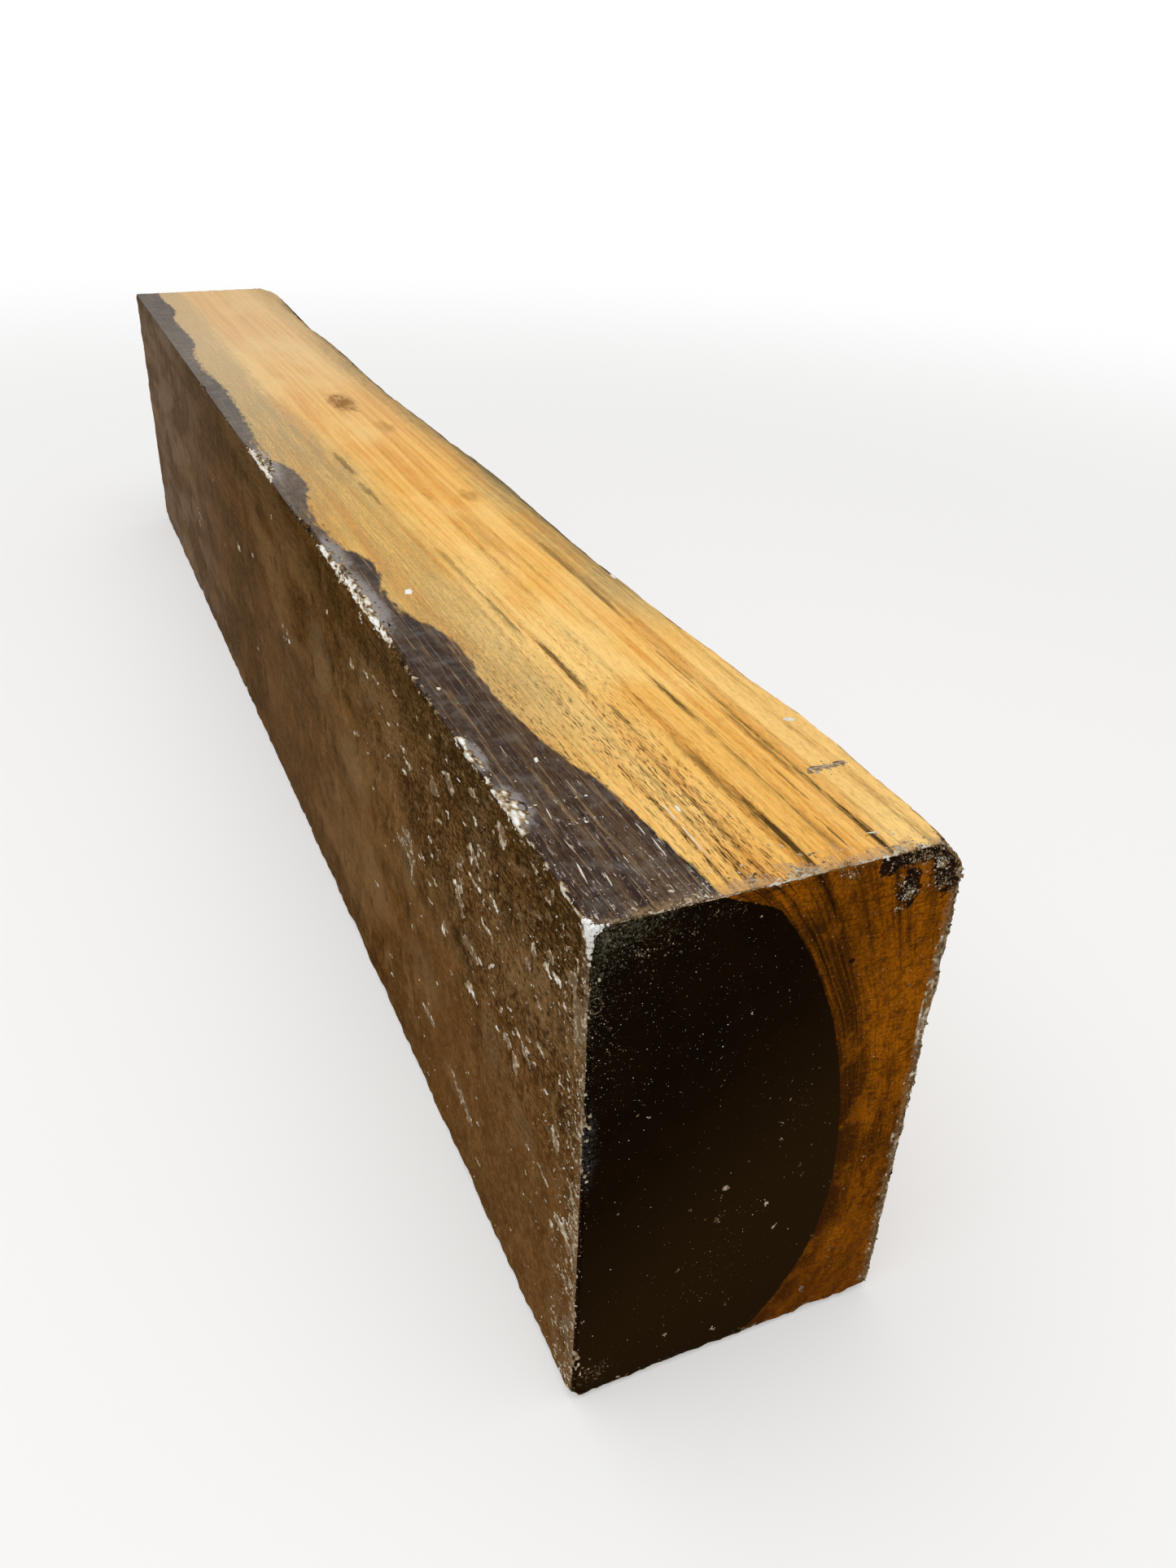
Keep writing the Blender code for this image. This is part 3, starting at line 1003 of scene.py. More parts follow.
# Ends: darkened by the wax, with the rings as curved lines
def endColour(sheet, wood):
    look, across, deep, spread = woodLook, wood.across, wood.deep, wood.spread
    grit, glow, strands, tufts = wood.grit, wood.glow, wood.strands, wood.tufts
    dirt, blotch, broken, smear = wood.dirt, wood.blotch, wood.broken, wood.smear
    upper = deep.step(50.0, 16.0)
    nearEnd = wood.along.step(400.0, 300.0)
    bright = spread.step(0.08, 0.18) * deep.step(84.0, 44.0) * deep.step(14.0, 30.0)
    shaded = (spread + deep.step(40.0, 75.0) * 0.05).step(0.22, 0.08) * deep.step(4.0, 14.0)
    lit = nearestOval(across, deep, look["glows"]) + (glow - 0.5) * 2.5
    ringLines = wood.rings * broken.step(0.30, 0.48) * (0.12 + 0.85 * deep.step(36.0, 8.0))
    inner = spread.step(0.20, 0.05) * (0.25 + 0.75 * upper)
    hole = (across - 56.0) * (across - 56.0) + (deep - 23.2) * (deep - 23.2) * 1.8
    sap = sheet.layers(look["sapEnd"], (
        (glow.step(0.42, 0.64) * 0.55 + bright * 0.36, look["sapEndLight"]),
        (upper * 0.22, look["sapEndLight"]),
        (glow.step(0.47, 0.32) * (0.70 - 0.35 * upper), look["sapEndDark"]),
        (strands.step(0.50, 0.36) * 0.42, look["sapEndDark"]),
        (strands.step(0.54, 0.70) * 0.30, look["sapEndLight"]),
        (wood.hatch.step(0.49, 0.38) * 0.56, look["sapEndDark"]),
        (tufts.step(0.47, 0.35) * 0.35, look["sapEndDark"]),
        (tufts.step(0.54, 0.66) * 0.22, look["sapEndLight"]),
        (spread.step(0.15, 0.02) * deep.step(30.0, 55.0) * 0.65, look["sapEndInner"]),
        (shaded * (0.50 + 0.4 * wood.fineRings.step(0.60, 0.42)), look["sapEndShade"]),
        (lit.step(1.3, 0.1) * nearEnd * 0.28, look["sapEndLight"]),
        (dirt.step(0.50, 0.66) * 0.55, look["sapEndSoiled"]),
        (blotch.step(0.54, 0.68) * 0.35, look["sapEndLight"]),
        (ringLines, look["ringLine"]),
        (wood.lines * broken.step(0.40, 0.56) * inner * 0.75, look["fineLine"]),
        (grit.step(0.50, 0.38) * 0.55, look["sapEndDark"]),
        (grit.step(0.56, 0.68) * 0.30, look["sapEndLight"]),
        (deep.step(96.0, 124.0) * 0.35, look["sapEndFoot"]),
        (hole.step(0.8, 0.3) * nearEnd * 0.9, look["soot"]),
    ))
    moss = (across / 26.0 + deep / 13.0).math("MINIMUM", across / 6.0 + deep / 42.0)
    moss = (moss + (dirt - 0.5) * 2.0).step(1.0, 0.2)
    heart = sheet.layers(look["heartEnd"], (
        (blotch.step(0.4, 0.7) * 0.6, look["heartEndLight"]),
        ((deep + across * 0.9).step(55.0, 130.0) * 0.8, look["heartEndLower"]),
        (grit.step(0.62, 0.78) * 0.3, look["heartEndGrit"]),
        (moss * grit.step(0.44, 0.62) * nearEnd * 0.8, look["moss"]),
    ))
    # painted sheen: a pale grey streak near the left edge of the near end, put in the base colour,
    # stands in for a reflection of the light
    paintedSheen = (across + (smear - 0.5) * 5.0).step(4.2, 0.8)
    paintedSheen = paintedSheen * deep.step(38.0, 48.0) * deep.step(66.0, 56.0)
    soot = nearestOval(across, deep, look["soots"])
    soot = soot + (smear - 0.5) * 3.0 + (dirt - 0.5) * 2.0 + (grit - 0.5) * 2.2
    ashen = (79.0 - across - deep / 92.0 + (dirt - 0.5) * 6.0).step(2.8, 1.0)
    ashen = ashen * deep.step(9.0, 14.0) + deep.step(127.2, 128.6) * 0.5
    return sheet.layers(sap, (
        (wood.heart, heart),
        (smear.step(0.66, 0.84) * grit.step(0.50, 0.66) * 0.2, look["film"]),
        (paintedSheen * nearEnd * 0.35 * grit.step(0.40, 0.6), look["paintedSheen"]),
        (soot.step(1.15, 0.75) * nearEnd * 0.95, look["soot"]),
        (ashen * (0.3 + 0.7 * grit.step(0.40, 0.56)) * 0.85, look["ashen"]),
    ))


def makeWood():
    look = woodLook
    material, sheet = newMaterial("lignumVitae")
    wood = readWood(sheet)
    along, grit, dirt = wood.along, wood.grit, wood.dirt
    onTop, onEnd, onWane = wood.onTop, wood.onEnd, wood.onWane
    bark = sheet.layers(look["barkDark"], (
        (dirt.step(0.42, 0.6), look["bark"]),
        (wood.blotch.step(0.56, 0.7) * 0.6, look["sapSide"]),
    ))
    # a crumbly waxed rim next to the near end
    rim = along + (dirt - 0.5) * 12.0 + (grit - 0.5) * 5.0 + onTop * (1.0 - wood.heart) * 1.6
    rim = rim.step(3.4, 0.4) * (1.0 - onEnd)
    colour = sheet.layers(sideColour(sheet, wood), (
        (onTop, topColour(sheet, wood)),
        (onEnd, endColour(sheet, wood)),
        (onWane * (0.35 + 0.6 * along.step(100.0, 160.0)), bark),
        (rim * (0.30 + 0.45 * grit.step(0.42, 0.58)), look["rimWax"]),
        (rim * grit.step(0.5, 0.38) * 0.6, look["rimDark"]),
    ))
    height = (wood.relief + wood.fibres * 0.4) * (1.0 - (onTop + onEnd)) * 1.4
    height = height + wood.threads * onTop * 0.16 - wood.pores * onTop * 0.12
    height = height + wood.ripples * onEnd * 0.16
    roughness = look["roughness"] + (grit - 0.5) * 0.22 - onEnd * 0.24 - onTop * 0.08
    inputs = sheet.shader.inputs
    sheet.put(inputs["Base Color"], colour)
    sheet.put(inputs["Roughness"], roughness)
    sheet.put(inputs["Coat Weight"], onEnd * 0.025 + onTop * 0.02)
    sheet.put(inputs["Normal"], sheet.bump(height, 1.0, 0.0006))
    sheet.put(inputs["Specular IOR Level"], 0.0)
    sheet.put(inputs["Coat Roughness"], look["coatRoughness"])
    sheet.put(inputs["Coat IOR"], look["coatIor"])
    return material


block.data.materials.append(makeWood())
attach(block, "root")
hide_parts("lignum_vitae_block")
print("wood: done")

# Finish of the crumbs and films: from soot black to clean wax, one tone to each of them
litterLook = {
    "stops": (
        (0.0, seen(14, 12, 9)), (0.12, seen(34, 27, 20)), (0.25, seen(78, 60, 42)),
        (0.38, seen(112, 90, 62)), (0.5, seen(144, 122, 94)), (0.62, seen(176, 157, 130)),
        (0.75, seen(206, 196, 176)), (0.88, seen(226, 222, 212)), (1.0, seen(242, 242, 240)),
    ),
    "moss": seen(76, 79, 66),
    "roughness": 0.6,
    "specular": 0.03,
}


def makeLitter():
    look = litterLook
    material, sheet = newMaterial("waxAndCrumbs")
    x, y, z = sheet.place()
    speckle = sheet.noise(x / 0.5, y / 0.5, z / 0.5, 4.0, 0.6)
    soil = sheet.noise(x / 2.5, y / 2.5, z / 2.5)
    tone = Flow(sheet, sheet.attribute("tone")) + (speckle - 0.5) * 0.35 + (soil - 0.5) * 0.25
    colour = sheet.node("ShaderNodeValToRGB", {"stops": look["stops"]}, {"Fac": tone}).outputs[0]
    # greyer in the heartwood's upper corner of the near end
    mossy = (x + sawnWide / 2).step(28.0, 14.0) * (y + sawnLong / 2).step(1.4, 0.6)
    mossy = mossy * (sawnHigh - z).step(44.0, 24.0)
    colour = sheet.mix(mossy * tone.step(0.62, 0.40) * 0.6, colour, look["moss"])
    inputs = sheet.shader.inputs
    sheet.put(inputs["Base Color"], colour)
    sheet.put(inputs["Roughness"], look["roughness"] + (speckle - 0.5) * 0.3)
    sheet.put(inputs["Normal"], sheet.bump(speckle, 0.7, 0.0002))
    sheet.put(inputs["Specular IOR Level"], look["specular"])
    return material


litter = makeLitter()

# Wax left on the rough left side, thick near the near end
leftWax = {
    "cell": 0.42,
    "farCell": 1.1,
    "fineTo": 150.0,  # mm along, from where the cells are larger
    "waxTo": 470.0,
    "bare": 0.84,  # more leaves less wax
    "crumbs": 1300,
    # (mm along, mm deep, mm long, mm high, tone)
    "patches": (
        (15, 22, 6, 4.5, 0.86), (12, 44, 4, 2.4, 0.9), (43, 8, 7, 5.5, 0.62), (54, 18, 5, 3, 0.8),
        (60, 24, 5, 4, 0.7), (55, 30, 7, 3.6, 0.8), (49, 38, 6, 3, 0.7), (30, 52, 5, 3, 0.78),
        (34, 60, 2.6, 7, 0.76), (63, 62, 5, 3, 0.85), (8, 82, 4, 5, 0.8), (23, 78, 6, 3, 0.6),
        (88, 20, 5, 3, 0.6), (112, 52, 10, 6, 0.6), (108, 60, 5, 5, 0.56), (112, 31, 4, 2, 0.85),
        (66, 104, 10, 5, 0.55), (76, 102, 6, 4, 0.55), (96, 98, 7, 3, 0.62), (7, 95, 4, 3, 0.6),
        (5, 17, 5, 6, 0.55), (3, 24, 4, 6, 0.6), (70, 42, 5, 7, 0.62), (132, 61, 6, 3, 0.55),
        (160, 44, 5, 3, 0.55), (145, 18, 8, 3, 0.6), (163, 22, 6, 2.5, 0.6), (86, 22, 6, 4, 0.55),
        (12, 60, 3, 6, 0.6), (68, 30, 4, 8, 0.5), (6, 108, 4, 8, 0.44), (62, 50, 8, 3, 0.6),
        (75, 14, 3, 6, 0.6), (40, 58, 4, 3, 0.7),
    ),
}


def makeLeftWax():
    rng = random.Random(71)
    heap = newHeap()
    look = leftWax
    patches = [(a, b, long * 0.8, high * 0.75, 0.85) for a, b, long, high, _ in look["patches"]]
    tones = [(a, b, long, high, tone - 0.68) for a, b, long, high, tone in look["patches"]]
    bands = ((0.7, look["fineTo"], look["cell"], 1),
             (look["fineTo"], look["waxTo"], look["farCell"], 2))
    for fromA, toA, cell, seed in bands:
        a, b = makeGrid(fromA, toA, cell, 1.2, 127.0, cell, seed)
        nearby = np.exp(-a / 6.0)
        upper = between(80.0 - b, 0.0, 40.0) * np.exp(-((a - 50.0) / 55.0) ** 2)
        cover = 1.25 * pattern(a, b, 3.4 * (1 + a / 300), 2.2, 4, 3.7)
        cover += 0.5 * pattern(a, b, 24, 15, 2, 9.1)
        cover += 1.3 * patchwork(a, b, patches) + 0.42 * nearby + 0.14 * upper - look["bare"]
        cover -= 0.14 * between(b, 55.0, 85.0) * between(a, 4.0, 14.0)
        inside = between(cover, 0.10, 0.45)
        thick = 0.05 + 0.10 * np.clip(cover * 5, 0, 1) - 0.06 * inside
        tone = 0.72 + patchwork(a, b, tones) - 0.26 * inside
        tone = tone + 0.45 * pattern(a, b, 1.5, 1.2, 3, 6.3) - 0.12 * nearby
        addFilm(heap, "left", a, b, cover, thick, np.maximum(tone, 0.38))

    # a crumbly band next to the near end
    a, b = makeGrid(0.7, 13.0, 0.3, 2.0, 126.0, 0.3, 3)
    cover = pattern(a, b, 1.5, 1.2, 4, 23.1) + 0.5 * pattern(a, b, 6.0, 9.0, 2, 2.1)
    cover = cover + 0.5 * np.exp(-a / 5.0) - 0.46
    tone = 0.64 + 0.4 * pattern(a, b, 0.9, 0.9, 3, 4.9) - 0.25 * between(cover, 0.1, 0.5)
    thick = 0.05 + 0.12 * np.clip(cover, 0, 1)
    addFilm(heap, "left", a, b, cover, thick, np.maximum(tone, 0.36))
    for _ in range(look["crumbs"]):
        a = min(rng.expovariate(1 / 20.0), 400.0) + 0.8
        b = rng.uniform(2, 126)
        if a < 12 or b < 70 or rng.random() < 0.3:
            part = crumbSize(rng, 0.06, 0.40)
            dropCrumb(heap, "left", a, b, part, rng.uniform(0.4, 1.0), rng)
    finishHeap(heap, "leftWaxFlakes", litter)


makeLeftWax()

# Wax and bruised fibre over the edge between the top and the left side
edgeWax = {
    "cell": 0.34,
    # (mm along from, to, mm across on the top, how solid, tone)
    "runs": (
        (1, 21, 1.6, 0.35, 0.84), (19, 33, 1.6, 0.30, 0.84), (31, 49, 3.4, 0.75, 0.96),
        (47, 59, 1.6, 0.30, 0.84), (57, 72, 3.0, 0.55, 0.94), (74, 94, 1.0, 0.05, 0.66),
        (92, 126, 2.6, 0.10, 0.46), (122, 138, 3.8, 0.55, 0.98), (134, 173, 4.0, 0.62, 1.0),
        (169, 200, 4.6, 0.60, 0.92), (200, 236, 2.8, 0.15, 0.46), (260, 304, 4.2, 0.70, 0.94),
        (328, 352, 1.6, 0.1, 0.45), (388, 412, 1.6, 0.1, 0.45),
    ),
    # the white blob on the near corner: (mm across, along, deep, reach)
    "blob": (
        (0.7, 0.8, 0.9, 1.0), (0.6, 0.7, 2.2, 0.85), (0.55, 0.6, 3.6, 0.7), (0.5, 0.55, 5.0, 0.5),
        (0.5, 0.5, 6.4, 0.36), (1.7, 0.7, 0.8, 0.7), (0.6, 2.0, 0.9, 0.75), (0.5, 1.3, 1.9, 0.8),
        (2.6, 0.6, 0.6, 0.4), (0.5, 3.1, 0.7, 0.45), (0.45, 0.5, 8.0, 0.3), (3.6, 0.5, 0.5, 0.28),
    ),
}


def makeEdgeWax():
    rng = random.Random(9)
    heap = newHeap()
    look = edgeWax
    for number, (start, end, wide, solid, tone) in enumerate(look["runs"]):
        cell = look["cell"] * (1 + start / 250)
        a, s = makeGrid(start, end, cell, -2.4, wide + 1.6, look["cell"], number)
        ends = np.minimum(a - start, end - a)
        away = np.where(s < 0, -s / 0.9, s / wide)
        cover = 1.5 * pattern(a, s, 2.6, 1.0, 4, 4.4 + number) + solid + 0.35
        cover = cover - 0.95 * away ** 1.5 - 0.9 * np.exp(-ends / 4.0)
        rim = np.exp(-((s - 0.3) / 0.9) ** 2)
        lumps = pattern(a, s, 1.5, 1.0, 3, 8.8)
        thick = rim * (0.20 + 0.26 * lumps) + 0.05 * np.clip(lumps, 0, 1)
        thick = 0.04 + thick * between(cover, 0.0, 0.9)
        slow = np.minimum(pattern(a, s, 7.0, 2.6, 3, 14.2 + number), 0.1)
        shade = tone - 0.30 * between(s, 1.0, 3.6) + 0.35 * lumps + 0.55 * slow
        shade = shade - 0.25 * between(-s, 0.6, 2.2) - 0.42 * (1.0 - between(cover, 0.05, 1.1))
        addFilm(heap, "topLeft", a, s, cover, np.minimum(thick, 0.42), shade)
        for _ in range(int((end - start) * (0.8 + solid))):
            part = crumbSize(rng, 0.08, 0.42)
            place = rng.uniform(start, end), rng.gauss(0.2, 1.0)
            dropCrumb(heap, "topLeft", *place, part, tone + rng.uniform(-0.3, 0.1), rng)
    for across, along, deep, reach in look["blob"]:
        centre = nearTopLeft + Vector((across, along, -deep)) * mm
        addLump(heap, centre, (reach, reach, reach * 1.2), 0.98 - deep * 0.02, rng, 3, 0.9)
    finishHeap(heap, "edgeWax", litter)


makeEdgeWax()

# The crust of bark and wax on the near end, and the crumbs caught in its wax
crust = {
    "cell": 0.34,
    # (mm across, mm deep, mm wide, mm high, amount, tone)
    "patches": (
        (8, 3, 8, 3, 0.55, 0.14), (3, 10, 2.4, 4, 0.5, 0.16), (26, 3, 4, 1.5, 0.4, 0.18),
        (3.4, 3, 1.2, 1.6, 0.7, 0.5), (73.5, 5, 1.6, 1.4, 1.6, 0.62), (75.5, 3, 3, 2.2, 0.8, 0.06),
        (70, 2.2, 3.2, 1.8, 0.65, 0.28), (66, 1.6, 2.6, 1.2, 0.7, 0.14),
        (62, 1.4, 2.6, 1.2, 0.7, 0.05), (60.5, 3.4, 1.2, 1.0, 0.9, 0.36),
        (65.5, 8, 1.4, 1.8, 0.8, 0.36), (67, 11, 1.2, 1.6, 0.7, 0.38),
        (76.5, 8, 2.0, 2.4, 0.8, 0.04), (74, 9.5, 1.6, 1.4, 0.7, 0.3),
        (65.8, 13.6, 0.7, 0.7, 1.1, 0.38), (53, 2.2, 1.6, 0.8, 0.8, 0.42),
        (50.5, 1.5, 1.2, 0.7, 0.8, 0.4), (57, 1.6, 1.2, 0.7, 0.7, 0.3),
        (78, 12, 1.0, 1.8, 0.8, 0.34), (69.5, 5.5, 1.4, 1.4, 0.6, 0.05),
        (5, 122, 5.0, 5.5, 0.8, 0.18), (58.6, 120.5, 0.9, 3.2, 1.2, 0.44),
        (46, 62, 2.0, 7, 0.28, 0.4), (30, 105, 9, 2, 0.25, 0.3), (35, 82, 2.4, 6, 0.30, 0.38),
        (44.8, 85.5, 0.9, 0.9, 1.3, 0.9), (33.6, 76, 1.1, 1.6, 1.0, 0.6),
        (32.5, 86, 1.2, 2.0, 0.7, 0.4), (35, 122.5, 0.9, 1.2, 1.0, 0.7),
        (22.6, 118, 0.7, 0.9, 1.0, 0.7), (69, 81.5, 0.7, 1.4, 1.1, 0.66),
        (47.5, 94, 0.5, 1.2, 1.0, 0.6),
    ),
    # granules: (mm across, mm deep, spread, count, tone)
    "clumps": (
        (73.2, 4.6, 0.8, 110, 0.84), (75.5, 3, 1.8, 130, 0.34), (70, 2.2, 1.8, 150, 0.44),
        (66, 1.8, 1.4, 90, 0.42), (62, 1.6, 1.6, 80, 0.28), (65.5, 8, 1.2, 80, 0.46),
        (67, 10.5, 1.2, 90, 0.48), (76.5, 8, 1.6, 120, 0.32), (74, 9.5, 1.4, 90, 0.42),
        (53, 2.2, 0.9, 40, 0.46), (50.5, 1.5, 0.8, 34, 0.44), (78, 12, 0.9, 40, 0.36),
        (77.5, 5, 1.0, 60, 0.34), (71.5, 8, 2.4, 90, 0.34), (5, 121, 2.6, 160, 0.3),
        (66.4, 9.6, 0.8, 70, 0.56), (64.6, 13.2, 0.6, 30, 0.5), (69.5, 3.4, 2.6, 120, 0.4),
        (77.4, 7.6, 0.8, 40, 0.5),
    ),
    # single crumbs: (mm across, mm deep, mm reach, tone)
    "crumbs": (
        (34, 76, 1.2, 0.6), (33, 79, 0.7, 0.5), (32.5, 85, 0.9, 0.45), (44.8, 85.5, 0.9, 0.95),
        (45.5, 62, 0.5, 0.7), (46, 67, 0.5, 0.7), (46.6, 56, 0.5, 0.6), (52, 77, 0.5, 0.5),
        (53, 80, 0.5, 0.5), (35, 122.5, 0.8, 0.8), (22.6, 118, 0.6, 0.75), (69, 81.5, 0.7, 0.72),
        (47.5, 94, 0.5, 0.7), (14.2, 48.5, 0.5, 0.9), (26, 79.5, 0.5, 0.75),
        (34.6, 29.3, 0.4, 0.85), (58.5, 102, 0.7, 0.6), (2.3, 103, 0.6, 0.8), (0.8, 97, 0.6, 0.85),
        (9.6, 8.2, 0.9, 0.6), (24.5, 3.2, 0.7, 0.55),
    ),
    # clouds of specks: (mm across, mm deep, mm wide, mm high, count, darkest tone, lightest tone,
    # largest speck in mm)
    "clouds": (
        (7, 3.2, 7, 3.4, 900, 0.05, 0.40, 0.42), (1.8, 13, 2.4, 9, 420, 0.05, 0.42, 0.36),
        (3.4, 2.8, 1.3, 1.6, 70, 0.40, 0.62, 0.36), (10.4, 7.8, 0.7, 0.8, 26, 0.50, 0.70, 0.42),
        (14.5, 6.5, 0.9, 0.6, 16, 0.45, 0.65, 0.32), (26, 3, 4, 1.4, 120, 0.1, 0.5, 0.26),
        (2.5, 32, 3, 20, 300, 0.1, 0.7, 0.2), (13, 11, 11, 8, 420, 0.08, 0.6, 0.24),
        (18, 28, 16, 12, 320, 0.4, 1.1, 0.15), (47, 58, 3, 4, 50, 0.3, 0.9, 0.16),
        (30, 105, 10, 3, 70, 0.25, 0.8, 0.16), (35, 90, 6, 7, 70, 0.3, 0.9, 0.18),
        (69, 33, 6, 9, 170, 0.3, 0.8, 0.14),
    ),
    "specks": 900,
    "drip": (1.9, 17.3, 1.3, 1.7, 26),  # (mm across, mm deep, half width, half height, crumbs)
    # (edge, mm along it from, to, mm away from it from, to, lumps in mm, seed)
    "rims": (
        ("nearTop", 1.0, 77.0, -1.2, 9.0, 0.10, 7),
        ("nearRight", 7.0, 127.0, -3.6, 3.4, 0.22, 9),
        ("nearLeft", 3.0, 127.0, -2.6, 1.0, 0.10, 8),
        ("nearBase", 2.0, 77.0, -2.6, 0.6, 0.10, 8),
    ),
    "rightCrumbs": 1000,  # crumbs along each rim
    "topCrumbs": 500,
    "leftCrumbs": 400,
    "baseCrumbs": 260,
}


# How well each rim of the near end is covered, and its tone. a runs along the edge, and s away
# from it: below 0 on the end, above 0 on the face beside it
def rimCover(edge, a, s, seed):
    fine = pattern(a, s, 1.0, 0.8, 4, 5.5 + seed)
    slow = pattern(a, s, 9.0, 6.0, 2, 2.5 + seed)
    away = np.abs(s)
    if edge == "nearTop":
        line = 0.74 * np.exp(-(s / 0.22) ** 2) * (1.0 - 0.7 * between(a, 40.0, 60.0))
        sapwood = between(a, 24.0, 32.0)
        reach = 1.6 + 3.0 * np.exp(-((a - 45) / 8) ** 2)
        behind = np.exp(-np.clip(s, 0, None) / reach) - 0.8 * between(-s, 0.0, 0.3)
        cover = fine * 0.8 + slow * 0.6 + line + behind * (0.30 + 0.35 * between(a, 34.0, 44.0))
        cover = cover - 0.62 - 0.12 * (1 - sapwood)
        return cover, 0.46 + 0.10 * np.exp(-(s / 0.4) ** 2) + 0.2 * slow + 0.06 * sapwood
    if edge == "nearRight":
        wide = 1.5 + 1.1 * np.sin(a * 0.19 + np.sin(a * 0.07) * 2)
        wide = wide + 1.2 * np.exp(-((a - 42.0) / 8.0) ** 2)
        cover = fine + 0.4 * slow + 0.95 * np.exp(-(away / np.maximum(wide, 0.9)) ** 1.5) - 0.36
        return cover, 0.42 + 0.25 * fine + 0.12 * np.exp(-((a - 42.0) / 9.0) ** 2)
    if edge == "nearLeft":
        return fine * 0.9 + 0.6 * slow + 0.60 * np.exp(-away / 0.9) - 0.62, 0.45 + 0.25 * fine
    return fine * 0.9 + 0.6 * slow + 0.55 * np.exp(-away / 1.0) - 0.55, 0.25 + 0.25 * fine


def makeCrust():
    rng = random.Random(5)
    heap = newHeap()
    look = crust
    a, b = makeGrid(0.9, 79.0, look["cell"], 0.6, 128.0, look["cell"], 3)
    fine = pattern(a, b, 1.3, 1.3, 4, 7.7)
    amounts, tones = [], []
    for across, deep, wide, high, amount, tone in look["patches"]:
        amounts.append((across, deep, wide / 1.3, high / 1.3, amount))
        tones.append((across, deep, wide, high, tone - 0.32))
    cover = fine + patchwork(a, b, amounts) - 0.68
    shade = 0.32 + patchwork(a, b, tones)
    grain = pattern(a, b, 0.7, 0.7, 3, 1.9)
    thick = 0.05 + 0.28 * np.clip(cover, 0, 1) + 0.16 * grain
    addFilm(heap, "near", a, b, cover, np.clip(thick, 0.03, 0.6), shade + 0.55 * grain)
    for across, deep, spreadOut, count, tone in look["clumps"]:
        for _ in range(count):
            place = rng.gauss(across, spreadOut), rng.gauss(deep, spreadOut * 0.8)
            part = crumbSize(rng, 0.07, 0.42)
            dropCrumb(heap, "near", *place, part, tone + rng.gauss(0, 0.16), rng)
    for across, deep, reach, tone in look["crumbs"]:
        for _ in range(8):
            place = rng.gauss(across, reach * 0.4), rng.gauss(deep, reach * 0.5)
            part = reach * rng.uniform(0.12, 0.4)
            dropCrumb(heap, "near", *place, part, tone + rng.uniform(-0.25, 0.05), rng)
    for _ in range(look["specks"]):
        deep = 126.0 * rng.random() ** 1.35 + 1.0
        across = rng.uniform(1, 77)
        part = crumbSize(rng, 0.03, 0.14)
        dropCrumb(heap, "near", across, deep, part, rng.uniform(0.35, 1.1), rng)
    for across, deep, wide, high, count, dark, light, largest in look["clouds"]:
        for _ in range(count):
            atAcross = min(abs(rng.gauss(across, wide)) + 0.7, 78.0)
            atDeep = abs(rng.gauss(deep, high)) + 0.7
            part = crumbSize(rng, 0.05, largest)
            dropCrumb(heap, "near", atAcross, atDeep, part, rng.uniform(dark, light), rng)

    # a round drip of wax
    across, deep, wide, high, count = look["drip"]
    for step in range(count):
        turn = step / count * 2 * math.pi
        place = across + wide * math.cos(turn), deep + high * math.sin(turn)
        dropCrumb(heap, "near", *place, 0.22, rng.uniform(0.25, 0.6), rng)
    finishHeap(heap, "nearEndCrust", litter)


def makeRims():
    rng = random.Random(12)
    heap = newHeap()
    look = crust
    for number, (edge, fromA, toA, fromS, toS, lumpy, seed) in enumerate(look["rims"]):
        a, s = makeGrid(fromA, toA, 0.34, fromS, toS, 0.24, 20 + number)
        cover, tone = rimCover(edge, a, s, seed)
        grain = pattern(a, s, 0.9, 0.8, 3, 3.3)
        thick = 0.05 + 0.12 * np.clip(cover, 0, 1) + lumpy * grain
        addFilm(heap, edge, a, s, cover, np.clip(thick, 0.03, 0.5), tone + 0.3 * grain)
    for _ in range(look["rightCrumbs"]):
        b = rng.uniform(8, 127)
        s = rng.gauss(0.0, 1.0 + 0.8 * math.sin(b * 0.19 + math.sin(b * 0.07) * 2))
        part = crumbSize(rng, 0.08, 0.8)
        dropCrumb(heap, "nearRight", b, s, part, rng.gauss(0.42, 0.16), rng)
    for _ in range(look["topCrumbs"]):
        place = rng.uniform(2, 77), min(rng.expovariate(1 / 1.6), 8.0)
        part = crumbSize(rng, 0.05, 0.24)
        dropCrumb(heap, "nearTop", *place, part, rng.uniform(0.35, 0.85), rng)
    for _ in range(look["leftCrumbs"]):
        place = rng.uniform(9, 127), rng.gauss(-0.2, 0.8)
        part = crumbSize(rng, 0.05, 0.26)
        dropCrumb(heap, "nearLeft", *place, part, rng.uniform(0.2, 0.8), rng)
    for _ in range(look["baseCrumbs"]):
        place = rng.uniform(1, 77), -rng.expovariate(1 / 0.8)
        part = crumbSize(rng, 0.06, 0.3)
        dropCrumb(heap, "nearBase", *place, part, rng.gauss(0.28, 0.14), rng)
    finishHeap(heap, "nearEndRims", litter)


makeCrust()
makeRims()

# The far end was dipped too, more lightly
farEnd = {
    "specks": 420,
    # (mm across, mm deep, mm wide, mm high, amount)
    "patches": (
        (70, 8, 8, 6, 0.5), (12, 120, 10, 6, 0.5), (40, 3, 16, 2, 0.45), (30, 70, 12, 10, 0.2),
    ),
    "rims": (("farTop", 1.0, 74.0), ("farLeft", 2.0, 127.0), ("farRight", 9.0, 127.0)),
}


